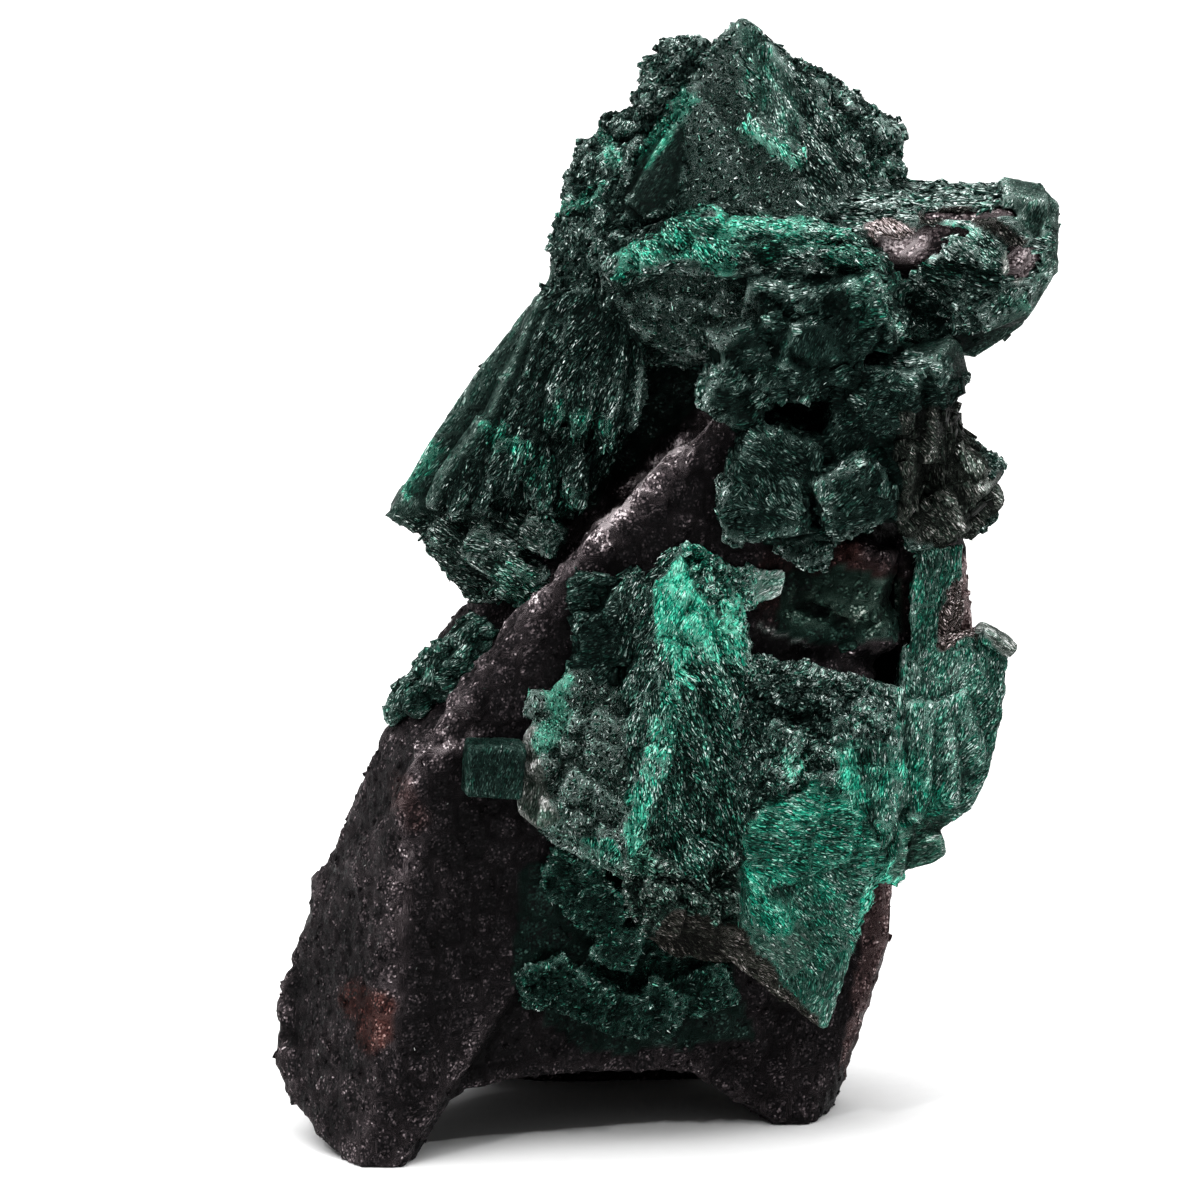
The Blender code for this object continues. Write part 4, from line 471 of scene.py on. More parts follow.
FAN_MARKS = [
    (0.65, 0.0, 0.1, 0.5, 0.8, [(-0.2, 37.6), (0.8, 34.8)]),
    (0.75, 0.0, 0.1, 0.5, 0.9, [(0.8, 38.6), (3, 37.4)]),
    (0.95, 0.0, 0.0, 0.3, 0.5, [(4.5, 38.6), (4.4, 37.6)]),
    (0.65, 0.2, 0.1, 0.4, 0.7, [(0.2, 33.4), (-0.6, 30.2), (-1.6, 27.6)]),
    (0.6, 0.0, 0.1, 0.5, 0.6, [(-2.1, 26.3), (-2.4, 23.8), (-2, 21.4)]),
    (0.55, 0.0, 0.1, 0.45, 0.6, [(-7.4, 34), (-7.9, 31.6), (-8.8, 29.8)]),
    (0.7, 0.0, 0.1, 0.5, 0.7, [(12.5, 28.2), (13.2, 25.4)]),
    (0.45, 0.2, 0.1, 0.4, 0.6, [(14.4, 27.8), (14.8, 25.6)]),
    (0.45, 0.0, 0.1, 0.5, 0.8, [(16.6, 28), (18.6, 25)]),
    (0.8, 0.3, 0.0, 0.3, 0.6, [(8.6, 28.6), (9.2, 27.8)]),
    (0.55, 0.0, 0.2, 0.45, 0.6, [(6, 20), (8, 16.8)]),
    (0.6, 0.0, 0.1, 0.25, 0.4, [(5.6, 20.7), (9.5, 19.8), (12.4, 18.9)]),
    (0.7, 0.3, 0.0, 0.3, 0.5, [(8, 24.4), (9.8, 24.9)]),
    (0.25, 0.0, 0.0, 0.3, 0.4, [(-5.4, 22.4), (-3.4, 21)]),
    (0.15, 1.0, -0.4, 0.5, 0.6, [(7.2, 32.4), (10, 32)]),
    (0.5, 0.4, -0.4, 0.3, 0.4, [(1.9, 42), (3.4, 41.2)]),
    (0.85, 0.6, -0.2, 0.25, 0.5, [(5.9, 42.6), (6.2, 38.4), (5.6, 34.6)]),
    (0.35, 1.0, 0.1, 0.15, 0.3, [(20.6, 37.6), (22.6, 37.4), (24.4, 36), (24.3, 32), (22.8, 26.6)]),
    (0.95, 0.0, 0.2, 0.12, 0.25, [(0.1, 42), (1.9, 40.1), (3.9, 37.8)]),
    (0.95, 0.1, 0.1, 0.3, 0.3, [(4.2, 39.7), (4.6, 37.6)]),
    (0.3, 0.0, -0.3, 0.15, 0.3, [(1.3, 42.9), (2.8, 42.6)]),
    (0.95, 0.6, 0.4, 0.25, 0.3, [(3.2, 44.9), (3.8, 44.5)]),
    (0.75, 0.5, 0.4, 0.25, 0.3, [(4.4, 44), (4.8, 43.5)]),
    (0.5, 0.8, 0.2, 0.12, 0.3, [(7, 33.2), (9.4, 34.8), (12.2, 33.6)]),
    (0.4, 0.5, 0.1, 0.12, 0.3, [(-10.2, 25.4), (-6.4, 22.9), (-3.2, 20.9)]),
    (0.55, 0.2, 0.0, 0.35, 0.6, [(16.4, 28.2), (17.9, 25.6)]),
    (0.65, 0.0, 0.2, 0.1, 0.25, [(5.8, 19.4), (7.5, 17.7)]),
    (0.6, 0.4, -0.2, 0.2, 0.4, [(10, 17.2), (10.8, 15.5), (9.7, 13.6), (8.8, 12.6)]),
    (0.55, 0.6, 0.1, 0.1, 0.25, [(13, 19.2), (12.7, 16.8), (12.2, 15.2), (12.3, 13.4), (11, 10)]),
    (0.7, 0.1, 0.1, 0.25, 0.4, [(7.7, 24), (8.8, 25), (9.6, 24.7)]),
    (0.7, 0.0, 0.0, 0.6, 0.6, [(-7.9, 33.9), (-7.6, 32.2)]),
    (0.35, 0.4, 0.45, 0.45, 0.5, [(14.9, 23.7), (15, 22.8)]),
    (0.35, 0.3, 0.45, 0.45, 0.5, [(16, 23.5), (16.1, 22.7)]),
]

ROCK_MARKS = [
    # The first five marks paint the pale line along the crest: the rock's own mauve, painted paler as a
    # highlight.
    (0.7, 0.0, 0.1, 0.3, 0.5, [(2.8, 52.6), (0.5, 49.9)]),
    (1.0, 0.0, 0.1, 0.55, 0.5, [(0.6, 49.9), (-0.6, 48.8), (-2.2, 47.4)]),
    (0.75, 0.0, 0.1, 0.35, 0.5, [(-2.2, 47.4), (-4.8, 44.6)]),
    (0.4, 0.0, 0.1, 0.15, 0.5, [(-5, 44.8), (-7.9, 41.5), (-11.8, 37.9), (-13.4, 35.6), (-16.8, 29.6),
     (-18.9, 25.8)]),
    (0.35, 0.0, 0.1, 0.22, 0.6, [(-2.1, 46.9), (0.9, 49.6)]),
    (0.55, 0.0, 0.1, 0.25, 0.7, [(-16.8, 28.7), (-13.8, 30.2)]),
    (0.7, 0.0, 0.0, 0.6, 0.6, [(13.4, 66), (17.2, 64.5)]),
    (0.4, 0.0, 0.0, 0.5, 0.8, [(20.4, 66.2), (23.6, 65.6)]),
    (0.6, 0.0, 0.0, 0.9, 0.5, [(24.4, 63.6), (25.2, 62.6)]),
    (0.8, 0.3, 0.0, 0.1, 0.25, [(6.7, 37.9), (8.6, 37), (10.5, 36)]),
    (0.35, 0.0, -0.3, 0.35, 0.4, [(8, 35.8), (12, 35.9), (15.6, 35.2)]),
    (0.5, 0.6, 0.1, 0.1, 0.25, [(8.2, 40.6), (11, 39.6), (13.4, 38.4)]),
]

RUST_MARKS = [
    (0.8, 0.9, 0.7, [(-22, 11.8), (-20.6, 11.2), (-20.8, 9.6)]),
    (0.3, 0.5, 0.8, [(-18.8, 26.8), (-17.8, 24.2)]),
    (0.8, 0.6, 0.9, [(12.6, 42.9), (12, 42)]),
    (0.5, 1.5, 2.0, [(8, 41), (14, 40)]),
]


SHAKE = 0.45  # how far the edges of the regions wander
SHAKE_LENGTH = 1.3
RAGGED = 0.35  # how far the edges of the marks wander besides
RAGGED_FIBRES = (0.9, 0.22, 0.22)
RAGGED_LENGTH = 0.7
START_FLOW = 60.0
TUFT_SPREAD = 40.0  # each tuft reads another place of the crystals' pattern, up to so far away
GRAIN_SPREAD = 500.0  # and so does each needle and chip
MIDDLE_RISE = 0.25
OWN_TONE = 0.10  # how far tufts differ from each other
DRIFT = 0.10  # how far the tone drifts over several millimetres
DRIFT_LENGTHS = (5.0, 2.0)
PAINTED_LIGHT_FROM = np.array((-0.45, -0.30, 0.84))  # painted light: faces that look up to the left are painted paler
BEHIND_FROM = -0.45  # how much towards the viewer a face looks that counts as behind
BEHIND_TONE = 0.40
BEHIND_GREY = 0.65
BEHIND_DRIFT = 0.25
PEAK = 79.4  # above this height needles and chips are small, so that none sticks up from the top
PEAK_SIZE = 0.3
BACK_SHARE = 0.25  # how thinly needles and chips stand where the surface looks away


class Surface:
    """The points of a fine mesh with what each region asks of them."""

    def __init__(self, places, normals, regions, marks, seed, behind_grey):
        self.move(places, normals)
        self.seed = seed
        count = len(places)
        self.across = places[:, 0] + noise(places / SHAKE_LENGTH, seed + 60) * SHAKE
        self.up = places @ UP + noise(places / SHAKE_LENGTH, seed + 61) * SHAKE
        styles, tones, greys, warms, flows, outlines = zip(*regions)
        region = np.full(count, -1)
        for step, outline in enumerate(outlines):
            region[within(self.across, self.up, outline)] = step
        home = np.maximum(region, 0)  # outside every outline, the first region's looks hold
        self.style = np.array([STYLE_NAMES.index(style) for style in styles])[home]
        self.tone, self.grey, self.warm = np.array((tones, greys, warms))[:, home]
        self.owner = owner = np.empty((count, 3))
        centre = np.empty((count, 3))
        patch = asked(self.style, "patch")
        for size in np.unique(patch):
            here = patch == size
            owner[here], middle, _, _ = cells(places[here] / size, seed)
            centre[here] = middle * size
        angle = np.full(count, math.radians(START_FLOW))
        for step, flow in enumerate(flows):
            here = region == step
            if isinstance(flow, tuple):
                angle[here] = np.arctan2((centre @ UP)[here] - flow[1], centre[here, 0] - flow[0])
            else:
                angle[here] = math.radians(flow)
        self.angle = angle + np.radians(asked(self.style, "swing")) * (draw(owner, seed + 5) * 2 - 1)
        ragged = noise(self.fibre() / RAGGED_FIBRES, seed + 80) + noise(places / RAGGED_LENGTH, seed + 81)
        self.lift = np.zeros(count)
        for tone, grey, rise, half, soft, line in marks:
            away = along_line(self.across, self.up, line) + ragged * RAGGED
            share = 1 - ease(half, half + soft, away)
            self.tone += (tone - self.tone) * share
            self.grey += (grey - self.grey) * share
            self.lift += rise * share
        behind = 1 - ease(BEHIND_FROM, 0.0, self.facing)
        drift = sum(noise(places / size, seed + 70 + k) for k, size in enumerate(DRIFT_LENGTHS)) / 2
        self.tone += (BEHIND_TONE + BEHIND_DRIFT * drift - self.tone) * behind
        self.grey += (behind_grey - self.grey) * behind
        self.lift *= 1 - behind
        self.tone += DRIFT * drift + (draw(owner, seed + 6) - 0.5) * OWN_TONE

    def move(self, places, normals):
        self.places = places
        self.normals = normals
        self.facing = normals @ TOWARDS

    def along(self):
        """The way of the fibres on the picture."""
        return np.cos(self.angle)[:, None] * RIGHT + np.sin(self.angle)[:, None] * UP

    def fibre(self):
        """Each point's place along, across and out of its fibres."""
        along = self.along()
        aside = np.cross(TOWARDS, along)
        shift = draw(self.owner, self.seed + 9)[:, None] * TUFT_SPREAD
        return np.stack([
            (self.places * along).sum(axis=1), (self.places * aside).sum(axis=1),
            self.places @ TOWARDS,
        ], axis=1) + shift

    def flow(self):
        """The way the fibres lie on the surface."""
        along = self.along()
        return unit(along - (along * self.normals).sum(axis=1, keepdims=True) * self.normals)

    def relief(self):
        """How far the surface rises at each point. Its faces get tones of their own."""
        fibre = self.fibre()
        rise = self.lift.copy()
        tilt = asked(self.style, "tilt")
        groove = asked(self.style, "groove")
        for step, level in enumerate(("big", "small")):
            size = asked(self.style, level)
            stretched = fibre / size[:, [0, 1, 0]]
            height, own, seam = facets(stretched, self.seed + 24 + step, tilt, groove)
            rise += size[:, 2] * (height - MIDDLE_RISE)
            # Seams below zero paint shade into the grooves between the faces.
            self.tone += (own - 0.5) * asked(self.style, "faces") + seam * asked(self.style, "seams")
        return rise


def mesh_from(name, places, corners):
    """A mesh of triangles or quads in the row frame's metres."""
    mesh = bpy.data.meshes.new(name)
    mesh.vertices.add(len(places))
    mesh.vertices.foreach_set("co", ((places + PICTURE_ZERO) * MM).ravel())
    mesh.loops.add(corners.size)
    mesh.loops.foreach_set("vertex_index", corners.ravel())
    mesh.polygons.add(len(corners))
    mesh.polygons.foreach_set("loop_start", np.arange(0, corners.size, corners.shape[1]))
    mesh.update(calc_edges=True)
    return mesh


def read_mesh(mesh):
    """A mesh's points and normals, as they are in the mesh."""
    count = len(mesh.vertices)
    places = np.empty(count * 3)
    normals = np.empty(count * 3)
    mesh.vertices.foreach_get("co", places)
    mesh.vertices.foreach_get("normal", normals)
    return places.reshape(-1, 3), normals.reshape(-1, 3)


def painted(mesh, source, tip, fibre, each=1):
    """Gives a mesh the numbers that its material reads, each of the source's for so many points."""
    values = dict(tone=source.tone, grey=source.grey, warm=source.warm)
    values["contrast"] = asked(source.style, "contrast")
    values = {name: np.repeat(numbers, each) for name, numbers in values.items()}
    values["tip"] = tip
    for name, numbers in values.items():
        layer = mesh.attributes.new(name, "FLOAT", "POINT")
        layer.data.foreach_set("value", numbers.astype(np.float32))
    layer = mesh.attributes.new("fibre", "FLOAT_VECTOR", "POINT")
    layer.data.foreach_set("vector", fibre.astype(np.float32).ravel())


def riding(name, mesh, material):
    """A piece that rides on the specimen."""
    mesh.materials.append(material)
    piece = add_object(name, mesh)
    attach(piece, "root")
    return piece


SWELL = 0.17  # how far the looks grow out of the solids, over the gaps between them


def fused(node, voxel):
    """The node's solid as a fine mesh in millimetres, in the picture's frame."""
    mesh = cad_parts[node].data.copy()
    in_metres, normals = read_mesh(mesh)
    places = in_metres / MM - PICTURE_ZERO + normals * SWELL
    mesh.vertices.foreach_set("co", places.ravel())
    mesh.update()
    thing = add_object("fused", mesh)
    remesh = thing.modifiers.new("fine", "REMESH")
    remesh.mode = "VOXEL"
    remesh.voxel_size = voxel
    depsgraph = bpy.context.evaluated_depsgraph_get()
    fine = bpy.data.meshes.new_from_object(thing.evaluated_get(depsgraph))
    bpy.data.objects.remove(thing)
    bpy.data.meshes.remove(mesh)
    return fine


def standing_out(places, normals, corners, rounds):
    """How far each point stands out of its surroundings, in millimetres, and below zero in a gap."""
    count = len(places)
    ends = corners.ravel(), np.roll(corners, -1, axis=1).ravel()
    ways = (ends, ends[::-1])
    meeting = sum(np.bincount(a, minlength=count) for a, _ in ways)[:, None]
    smooth = places
    for _ in range(rounds):
        total = [sum(np.bincount(a, smooth[b, axis], count) for a, b in ways) for axis in range(3)]
        smooth = np.stack(total, axis=1) / meeting
    return ((places - smooth) * normals).sum(axis=1)


STAND_OUT = ((4, 0.10), (40, 0.35))  # rounds of smoothing and the most that counts: edges, then forms
CRUMBLE_GRID = 97
RISE_SHADE_SHARE = 1.2


def body(name, node, material, slot, regions, marks, voxel, seed):
    """A piece that stands for a node: its solid, refined and given the relief of its regions."""
    fine = fused(node, voxel)
    places, normals = read_mesh(fine)
    behind_grey = 0.0 if slot == "matrix" else BEHIND_GREY
    surface = Surface(places, normals, regions, marks, seed, behind_grey)
    corners = np.empty(len(fine.loops), dtype=np.int32)
    fine.loops.foreach_get("vertex_index", corners)
    corners = corners.reshape(-1, 4)
    # Painted shade: points in gaps and hollows get darker, and edges and forms that stand out get paler.
    for rounds, most in STAND_OUT:
        out = standing_out(places, normals, corners, rounds)
        surface.tone += np.clip(out, -most, most) / most * asked(surface.style, "edges")
    for warm, half, soft, line in RUST_MARKS if slot == "matrix" else ():
        share = 1 - ease(half, half + soft, along_line(surface.across, surface.up, line))
        surface.warm += (warm - surface.warm) * share
    rise = surface.relief()
    # Painted light: faces that look up to the left are paler, and those that look away are darker.
    surface.tone += normals @ PAINTED_LIGHT_FROM * asked(surface.style, "lit")
    surface.tone = np.clip(surface.tone, 0, 1)
    shake = [draw(np.round(places * CRUMBLE_GRID + axis), seed + axis) for axis in range(3)]
    crumble = asked(surface.style, "crumble") * voxel
    places = places + normals * rise[:, None] + (np.stack(shake, axis=1) - 0.5) * crumble[:, None]
    places[:, 2] = np.maximum(places[:, 2], LOWEST)
    bpy.data.meshes.remove(fine)
    mesh = mesh_from(name, places, corners)
    mesh.polygons.foreach_set("use_smooth", asked(surface.style, "flat")[corners[:, 0]] < 0.5)
    surface.move(places, read_mesh(mesh)[1])
    # Painted shade: where the relief sinks the surface is darker, and where it rises it is paler.
    painted(mesh, surface, np.clip(0.5 + rise * RISE_SHADE_SHARE, 0, 1), surface.fibre())
    piece = riding(name, mesh, material)
    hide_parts(node)
    print(name, len(corners) * 2, "triangles")
    return surface, corners


class Sample:
    """Places picked at random on a surface, with what the surface says there."""

    def __init__(self, surface, corners, count, key, seed):
        self.pick = pick = np.random.default_rng(seed)
        self.count = count
        tri = np.concatenate([corners[:, [0, 1, 2]], corners[:, [0, 2, 3]]])
        a, b, c = (surface.places[tri[:, k]] for k in range(3))
        area = np.linalg.norm(np.cross(b - a, c - a), axis=1) / 2
        first = tri[:, 0]
        front = BACK_SHARE + (1 - BACK_SHARE) * ease(-0.3, 0.15, surface.facing[first])
        weight = area * front * asked(surface.style[first], key)
        chosen = pick.choice(len(tri), size=count, p=weight / weight.sum())
        u, v = pick.random(count), pick.random(count)
        fold = u + v > 1
        u[fold], v[fold] = 1 - u[fold], 1 - v[fold]
        self.foot = a[chosen] + (b - a)[chosen] * u[:, None] + (c - a)[chosen] * v[:, None]
        near = first[chosen]
        self.normal = surface.normals[near]
        self.flow = surface.flow()[near]
        self.aside = np.cross(self.normal, self.flow)
        for key in ("style", "tone", "grey", "warm"):
            setattr(self, key, getattr(surface, key)[near])

    def swayed(self, degrees):
        """The way of the fibres, turned on the surface by up to about so many degrees."""
        sway = np.radians(self.pick.normal(0, 1, self.count) * degrees)[:, None]
        return self.flow * np.cos(sway) + self.aside * np.sin(sway)

    def size(self):
        """Small at the very top, and full size elsewhere."""
        return np.where(self.foot @ UP > PEAK, PEAK_SIZE, 1.0)

    def piece(self, name, points, corners, fibre, tips, material, slot):
        """Joins one copy of a small shape for each place into one piece."""
        each = points.shape[1]
        faces = corners[None] + (np.arange(self.count) * each)[:, None, None]
        places = points.reshape(-1, 3)
        places[:, 2] = np.maximum(places[:, 2], LOWEST)
        mesh = mesh_from(name, places, faces.reshape(-1, corners.shape[1]).astype(np.int32))
        painted(mesh, self, np.tile(tips, self.count), fibre, each)
        riding(name, mesh, material)
        print(name, len(mesh.polygons) * (corners.shape[1] - 2), "triangles")


def placed(feet, ways, shapes):
    """The points of one shape at each foot, laid out along three ways."""
    moved = (way[:, None] * shapes[:, :, [axis]] for axis, way in enumerate(ways))
    return feet[:, None] + sum(moved)


NEEDLE = np.array(((-0.5, 0.0, -0.29), (0.5, 0.0, -0.29), (0.0, 0.0, 0.58), (0.0, 1.0, 0.0)))
NEEDLE_CORNERS = np.array(((0, 1, 3), (1, 2, 3), (2, 0, 3), (0, 2, 1)))
# Painted shade: a needle is darker at its foot and paler at its point.
NEEDLE_RISE_SHADES = (0.35, 0.35, 0.35, 0.75)
SUNK = 0.35  # how deep a needle's foot lies, in widths
PAINTED_GLINT_GREY = 0.3  # how much greyer a needle with a painted glint is


def needles(name, surface, corners, material, slot, count, seed):
    """Small pointed crystals that stand on a surface, with their feet sunk in it."""
    s = Sample(surface, corners, count, "grains", seed)
    pick = s.pick
    length = asked(s.style, "length") * pick.uniform(0.5, 1.4, count) * s.size()
    width = asked(s.style, "width") * pick.uniform(0.6, 1.5, count)
    lift = np.radians(asked(s.style, "lift") * pick.uniform(0.1, 2.0, count))[:, None]
    along = unit(s.swayed(asked(s.style, "sway")) * np.cos(lift) + s.normal * np.sin(lift))
    side = unit(np.cross(along, s.normal))
    face = np.cross(side, along)
    turn = pick.uniform(0, 2 * math.pi, count)[:, None]
    side, face = side * np.cos(turn) + face * np.sin(turn), face * np.cos(turn) - side * np.sin(turn)
    foot = s.foot - s.normal * (width * SUNK)[:, None]
    shape = NEEDLE * np.stack([width, length, width], axis=1)[:, None]
    points = placed(foot, (side, along, face), shape)
    # Painted glints: some needles are painted paler and greyer.
    painted_glint = pick.random(count) < asked(s.style, "glints")
    s.tone = s.tone + pick.normal(-0.06, 0.10, count) + painted_glint * pick.uniform(0.16, 0.52, count)
    s.tone = np.clip(s.tone, 0, 1)
    s.grey = np.where(painted_glint, PAINTED_GLINT_GREY + (1 - PAINTED_GLINT_GREY) * s.grey, s.grey)
    one_spot = np.repeat(pick.uniform(0, GRAIN_SPREAD, (count, 1, 3)), 4, axis=1)
    s.piece(name, points, NEEDLE_CORNERS, one_spot, NEEDLE_RISE_SHADES, material, slot)


CHIP = np.array([(x, y, z) for x in (-0.5, 0.5) for y in (-0.5, 0.5) for z in (-0.6, 0.5)])
CHIP_CORNERS = np.array((
    (0, 1, 3), (0, 3, 2), (4, 6, 7), (4, 7, 5), (0, 4, 5), (0, 5, 1),
    (2, 3, 7), (2, 7, 6), (1, 5, 7), (1, 7, 3), (0, 2, 6), (0, 6, 4),
))
# Painted shade: a chip is darker at its sunk underside and paler on top.
CHIP_RISE_SHADES = (0.3, 0.65, 0.3, 0.65, 0.3, 0.6, 0.3, 0.6)
NARROWED = 0.35  # how much narrower a chip's one end is at most


def chips(name, surface, corners, material, slot, count, seed):
    """Flat-faced crystals half sunk in a surface, longest along its fibres."""
    s = Sample(surface, corners, count, "chips", seed)
    pick = s.pick
    tilt = np.radians(pick.normal(0, 13, (count, 2)))
    along = unit(s.swayed(asked(s.style, "sway") * 0.6) + s.normal * tilt[:, :1])
    side = unit(np.cross(s.normal + s.aside * tilt[:, 1:], along))
    out = np.cross(along, side)
    sides = asked(s.style, "sides") * pick.uniform(0.5, 1.35, (count, 3)) * s.size()[:, None]
    shape = CHIP[None] * (1 + pick.uniform(-0.22, 0.22, (count, 8, 3)))
    narrow = 1 - NARROWED * (shape[:, :, :1] > 0) * pick.random((count, 1, 1))
    shape[:, :, 1:2] *= narrow
    shape = shape * sides[:, None]
    points = placed(s.foot, (along, side, out), shape)
    s.tone = np.clip(s.tone + pick.normal(0, 0.05, count), 0, 1)
    fibre = shape + pick.uniform(0, GRAIN_SPREAD, (count, 1, 3))
    s.piece(name, points, CHIP_CORNERS, fibre, CHIP_RISE_SHADES, material, slot)


# Materials

class Nodes:
    """Short ways to make and join shader nodes."""

    def __init__(self, name):
        self.material = bpy.data.materials.new(name)
        self.material.use_nodes = True
        self.tree = self.material.node_tree
        self.surface = self.tree.nodes["Principled BSDF"]

    def feed(self, node, sources):
        """Gives sockets of a node their numbers or their links."""
        for socket, source in sources.items():
            if isinstance(source, (int, float, tuple)):
                node.inputs[socket].default_value = source
            else:
                self.tree.links.new(source, node.inputs[socket])

    def add(self, kind, sources=None, **settings):
        """The outputs of a new node."""
        node = self.tree.nodes.new(kind)
        for key, value in settings.items():
            setattr(node, key, value)
        self.feed(node, sources or {})
        return node.outputs

    def attribute(self, name, output="Fac"):
        return self.add("ShaderNodeAttribute", attribute_name=name)[output]

    def math(self, operation, first, second):
        return self.add("ShaderNodeMath", {0: first, 1: second}, operation=operation)[0]

    def total(self, first, *others):
        for other in others:
            first = self.math("ADD", first, other)
        return first

    def times(self, first, second):
        return self.math("MULTIPLY", first, second)

    def ramp(self, share, stops):
        node = self.tree.nodes.new("ShaderNodeValToRGB")
        while len(node.color_ramp.elements) < len(stops):
            node.color_ramp.elements.new(0.5)
        for element, (position, colour) in zip(node.color_ramp.elements, stops):
            element.position = position
            element.color = (*colour, 1.0)
        self.feed(node, {"Fac": share})
        return node.outputs["Color"]

    def mix(self, share, first, second):
        return self.add("ShaderNodeMix", {0: share, 6: first, 7: second}, data_type="RGBA")[2]

    def vector_math(self, operation, first, second=(0.0, 0.0, 0.0), scale=1.0):
        sources = {0: first, 1: second, 3: scale}
        return self.add("ShaderNodeVectorMath", sources, operation=operation)[0]

    def crystals(self, place, sides):
        """Crystals packed side by side: a random colour for each, and how far from its middle."""
        shrunk = self.vector_math("MULTIPLY", place, tuple(1.0 / side for side in sides))
        crystal = self.add("ShaderNodeTexVoronoi", {"Vector": shrunk, "Scale": 1.0})
        return crystal["Color"], crystal["Distance"]

    def parts_of(self, colour):
        """Three random numbers out of a random colour."""
        return self.add("ShaderNodeSeparateColor", {0: colour})

    def swing(self, share, amount):
        """A number from 0 to 1, moved to run evenly below and above zero."""
        return self.times(self.math("ADD", share, -0.5), amount)

    def tilted(self, colour, contrast):
        """The surface's normal, leaning its own way on each crystal."""
        lean = self.vector_math("SUBTRACT", colour, (0.5, 0.5, 0.5))
        lean = self.vector_math("SCALE", lean, scale=self.times(contrast, LEAN))
        normal = self.add("ShaderNodeNewGeometry")["Normal"]
        return self.vector_math("NORMALIZE", self.vector_math("ADD", normal, lean))

    def bump(self, height, strength, distance, normal):
        sources = {"Strength": strength, "Distance": distance, "Height": height, "Normal": normal}
        return self.add("ShaderNodeBump", sources)["Normal"]


def evenly(*colours):
    """Colour stops at even steps from 0 to 1."""
    return [(step / (len(colours) - 1), colour) for step, colour in enumerate(colours)]


DARKER = 0.12  # how far every level lies under its tone, for the brightness of the studio
LEAN = 0.5


def malachite(name):
    """Near-black to mint green or pale grey, broken up into strokes along its fibres."""
    n = Nodes(name)
    fibre = n.attribute("fibre", "Vector")
    contrast = n.attribute("contrast")
    colour, away = n.crystals(fibre, (0.24, 0.055, 0.12))
    tuft_colour, _ = n.crystals(fibre, (0.8, 0.26, 0.5))
    stroke, hue, _ = n.parts_of(colour)
    tuft, pale, _ = n.parts_of(tuft_colour)
    # Painted glints: the brightest strokes are painted paler and greyer.
    painted_glint = n.math("POWER", stroke, 6.0)
    gap = n.math("POWER", n.math("SUBTRACT", 1.0, stroke), 6.0)
    change = n.total(
        n.swing(stroke, 0.6), n.swing(tuft, 0.22), n.times(painted_glint, 0.45), n.times(gap, -0.3),
        n.swing(away, -0.25),
    )
    # Painted shade: low points of the relief and the feet of needles and chips are darker, high ones paler.
    tip = n.swing(n.attribute("tip"), 0.3)
    level = n.total(n.attribute("tone"), n.times(change, contrast), tip, -DARKER)
    greyness = n.total(
        n.attribute("grey"), n.swing(pale, 0.85), n.swing(hue, 0.4), n.times(painted_glint, 0.25)
    )
    green = n.ramp(level, evenly(
        (0.0008, 0.0032, 0.0022), (0.001, 0.0105, 0.007), (0.002, 0.04, 0.0265),
        (0.004, 0.12, 0.074), (0.014, 0.35, 0.218), (0.12, 0.72, 0.5),
    ))
    grey = n.ramp(level, evenly(
        (0.001, 0.0028, 0.0022), (0.003, 0.0085, 0.007), (0.011, 0.026, 0.021),
        (0.047, 0.083, 0.071), (0.2, 0.278, 0.25), (0.78, 0.89, 0.86),
    ))
    brown = n.ramp(level, evenly(
        (0.0026, 0.0022, 0.002), (0.007, 0.006, 0.005), (0.022, 0.019, 0.015),
        (0.078, 0.062, 0.058), (0.29, 0.225, 0.222), (0.86, 0.76, 0.76),
    ))
    n.feed(n.surface, {
        "Base Color": n.mix(n.attribute("warm"), n.mix(greyness, green, grey), brown),
        "Roughness": n.total(0.3, n.times(tuft, 0.35)),
        "Specular IOR Level": 0.02,
        "Normal": n.bump(stroke, 0.5, 0.00005, n.tilted(colour, contrast)),
    })
    return n.material


def rock(name):
    """Near-black grainy rock, mauve where it's pale and rusty in patches."""
    n = Nodes(name)
    fibre = n.attribute("fibre", "Vector")
    colour, away = n.crystals(fibre, (0.17, 0.14, 0.14))
    patch_colour, _ = n.crystals(fibre, (0.9, 0.6, 0.6))
    contrast = n.attribute("contrast")
    grain = n.parts_of(colour)[0]
    patch = n.parts_of(patch_colour)[0]
    level = n.total(
        # the palest grains get painted glints
        n.attribute("tone"), -DARKER, n.swing(grain, 0.46), n.times(n.math("POWER", grain, 10.0), 0.16),
        # painted shade: low points darker, high ones paler
        n.swing(patch, 0.16), n.swing(n.attribute("tip"), 0.25), n.swing(away, -0.2),
    )
    mauve = n.ramp(level, evenly(
        (0.002, 0.0019, 0.002), (0.004, 0.0038, 0.0042), (0.011, 0.01, 0.011),
        (0.042, 0.036, 0.039), (0.18, 0.15, 0.16), (0.8, 0.72, 0.74),
    ))
    rust = n.ramp(level, (
        (0.0, (0.003, 0.0018, 0.0016)), (0.3, (0.014, 0.0055, 0.005)), (0.6, (0.08, 0.027, 0.022)),
        (1.0, (0.5, 0.28, 0.24)),
    ))
    green = n.ramp(level, (
        (0.0, (0.001, 0.003, 0.0024)), (0.3, (0.004, 0.018, 0.013)), (0.6, (0.022, 0.085, 0.062)),
        (1.0, (0.4, 0.6, 0.52)),
    ))
    n.feed(n.surface, {
        "Base Color": n.mix(n.attribute("grey"), n.mix(n.attribute("warm"), mauve, rust), green),
        "Roughness": n.total(0.35, n.times(patch, 0.3)),
        "Specular IOR Level": 0.03,
        "Normal": n.bump(grain, 0.6, 0.00008, n.tilted(colour, contrast)),
    })
    return n.material


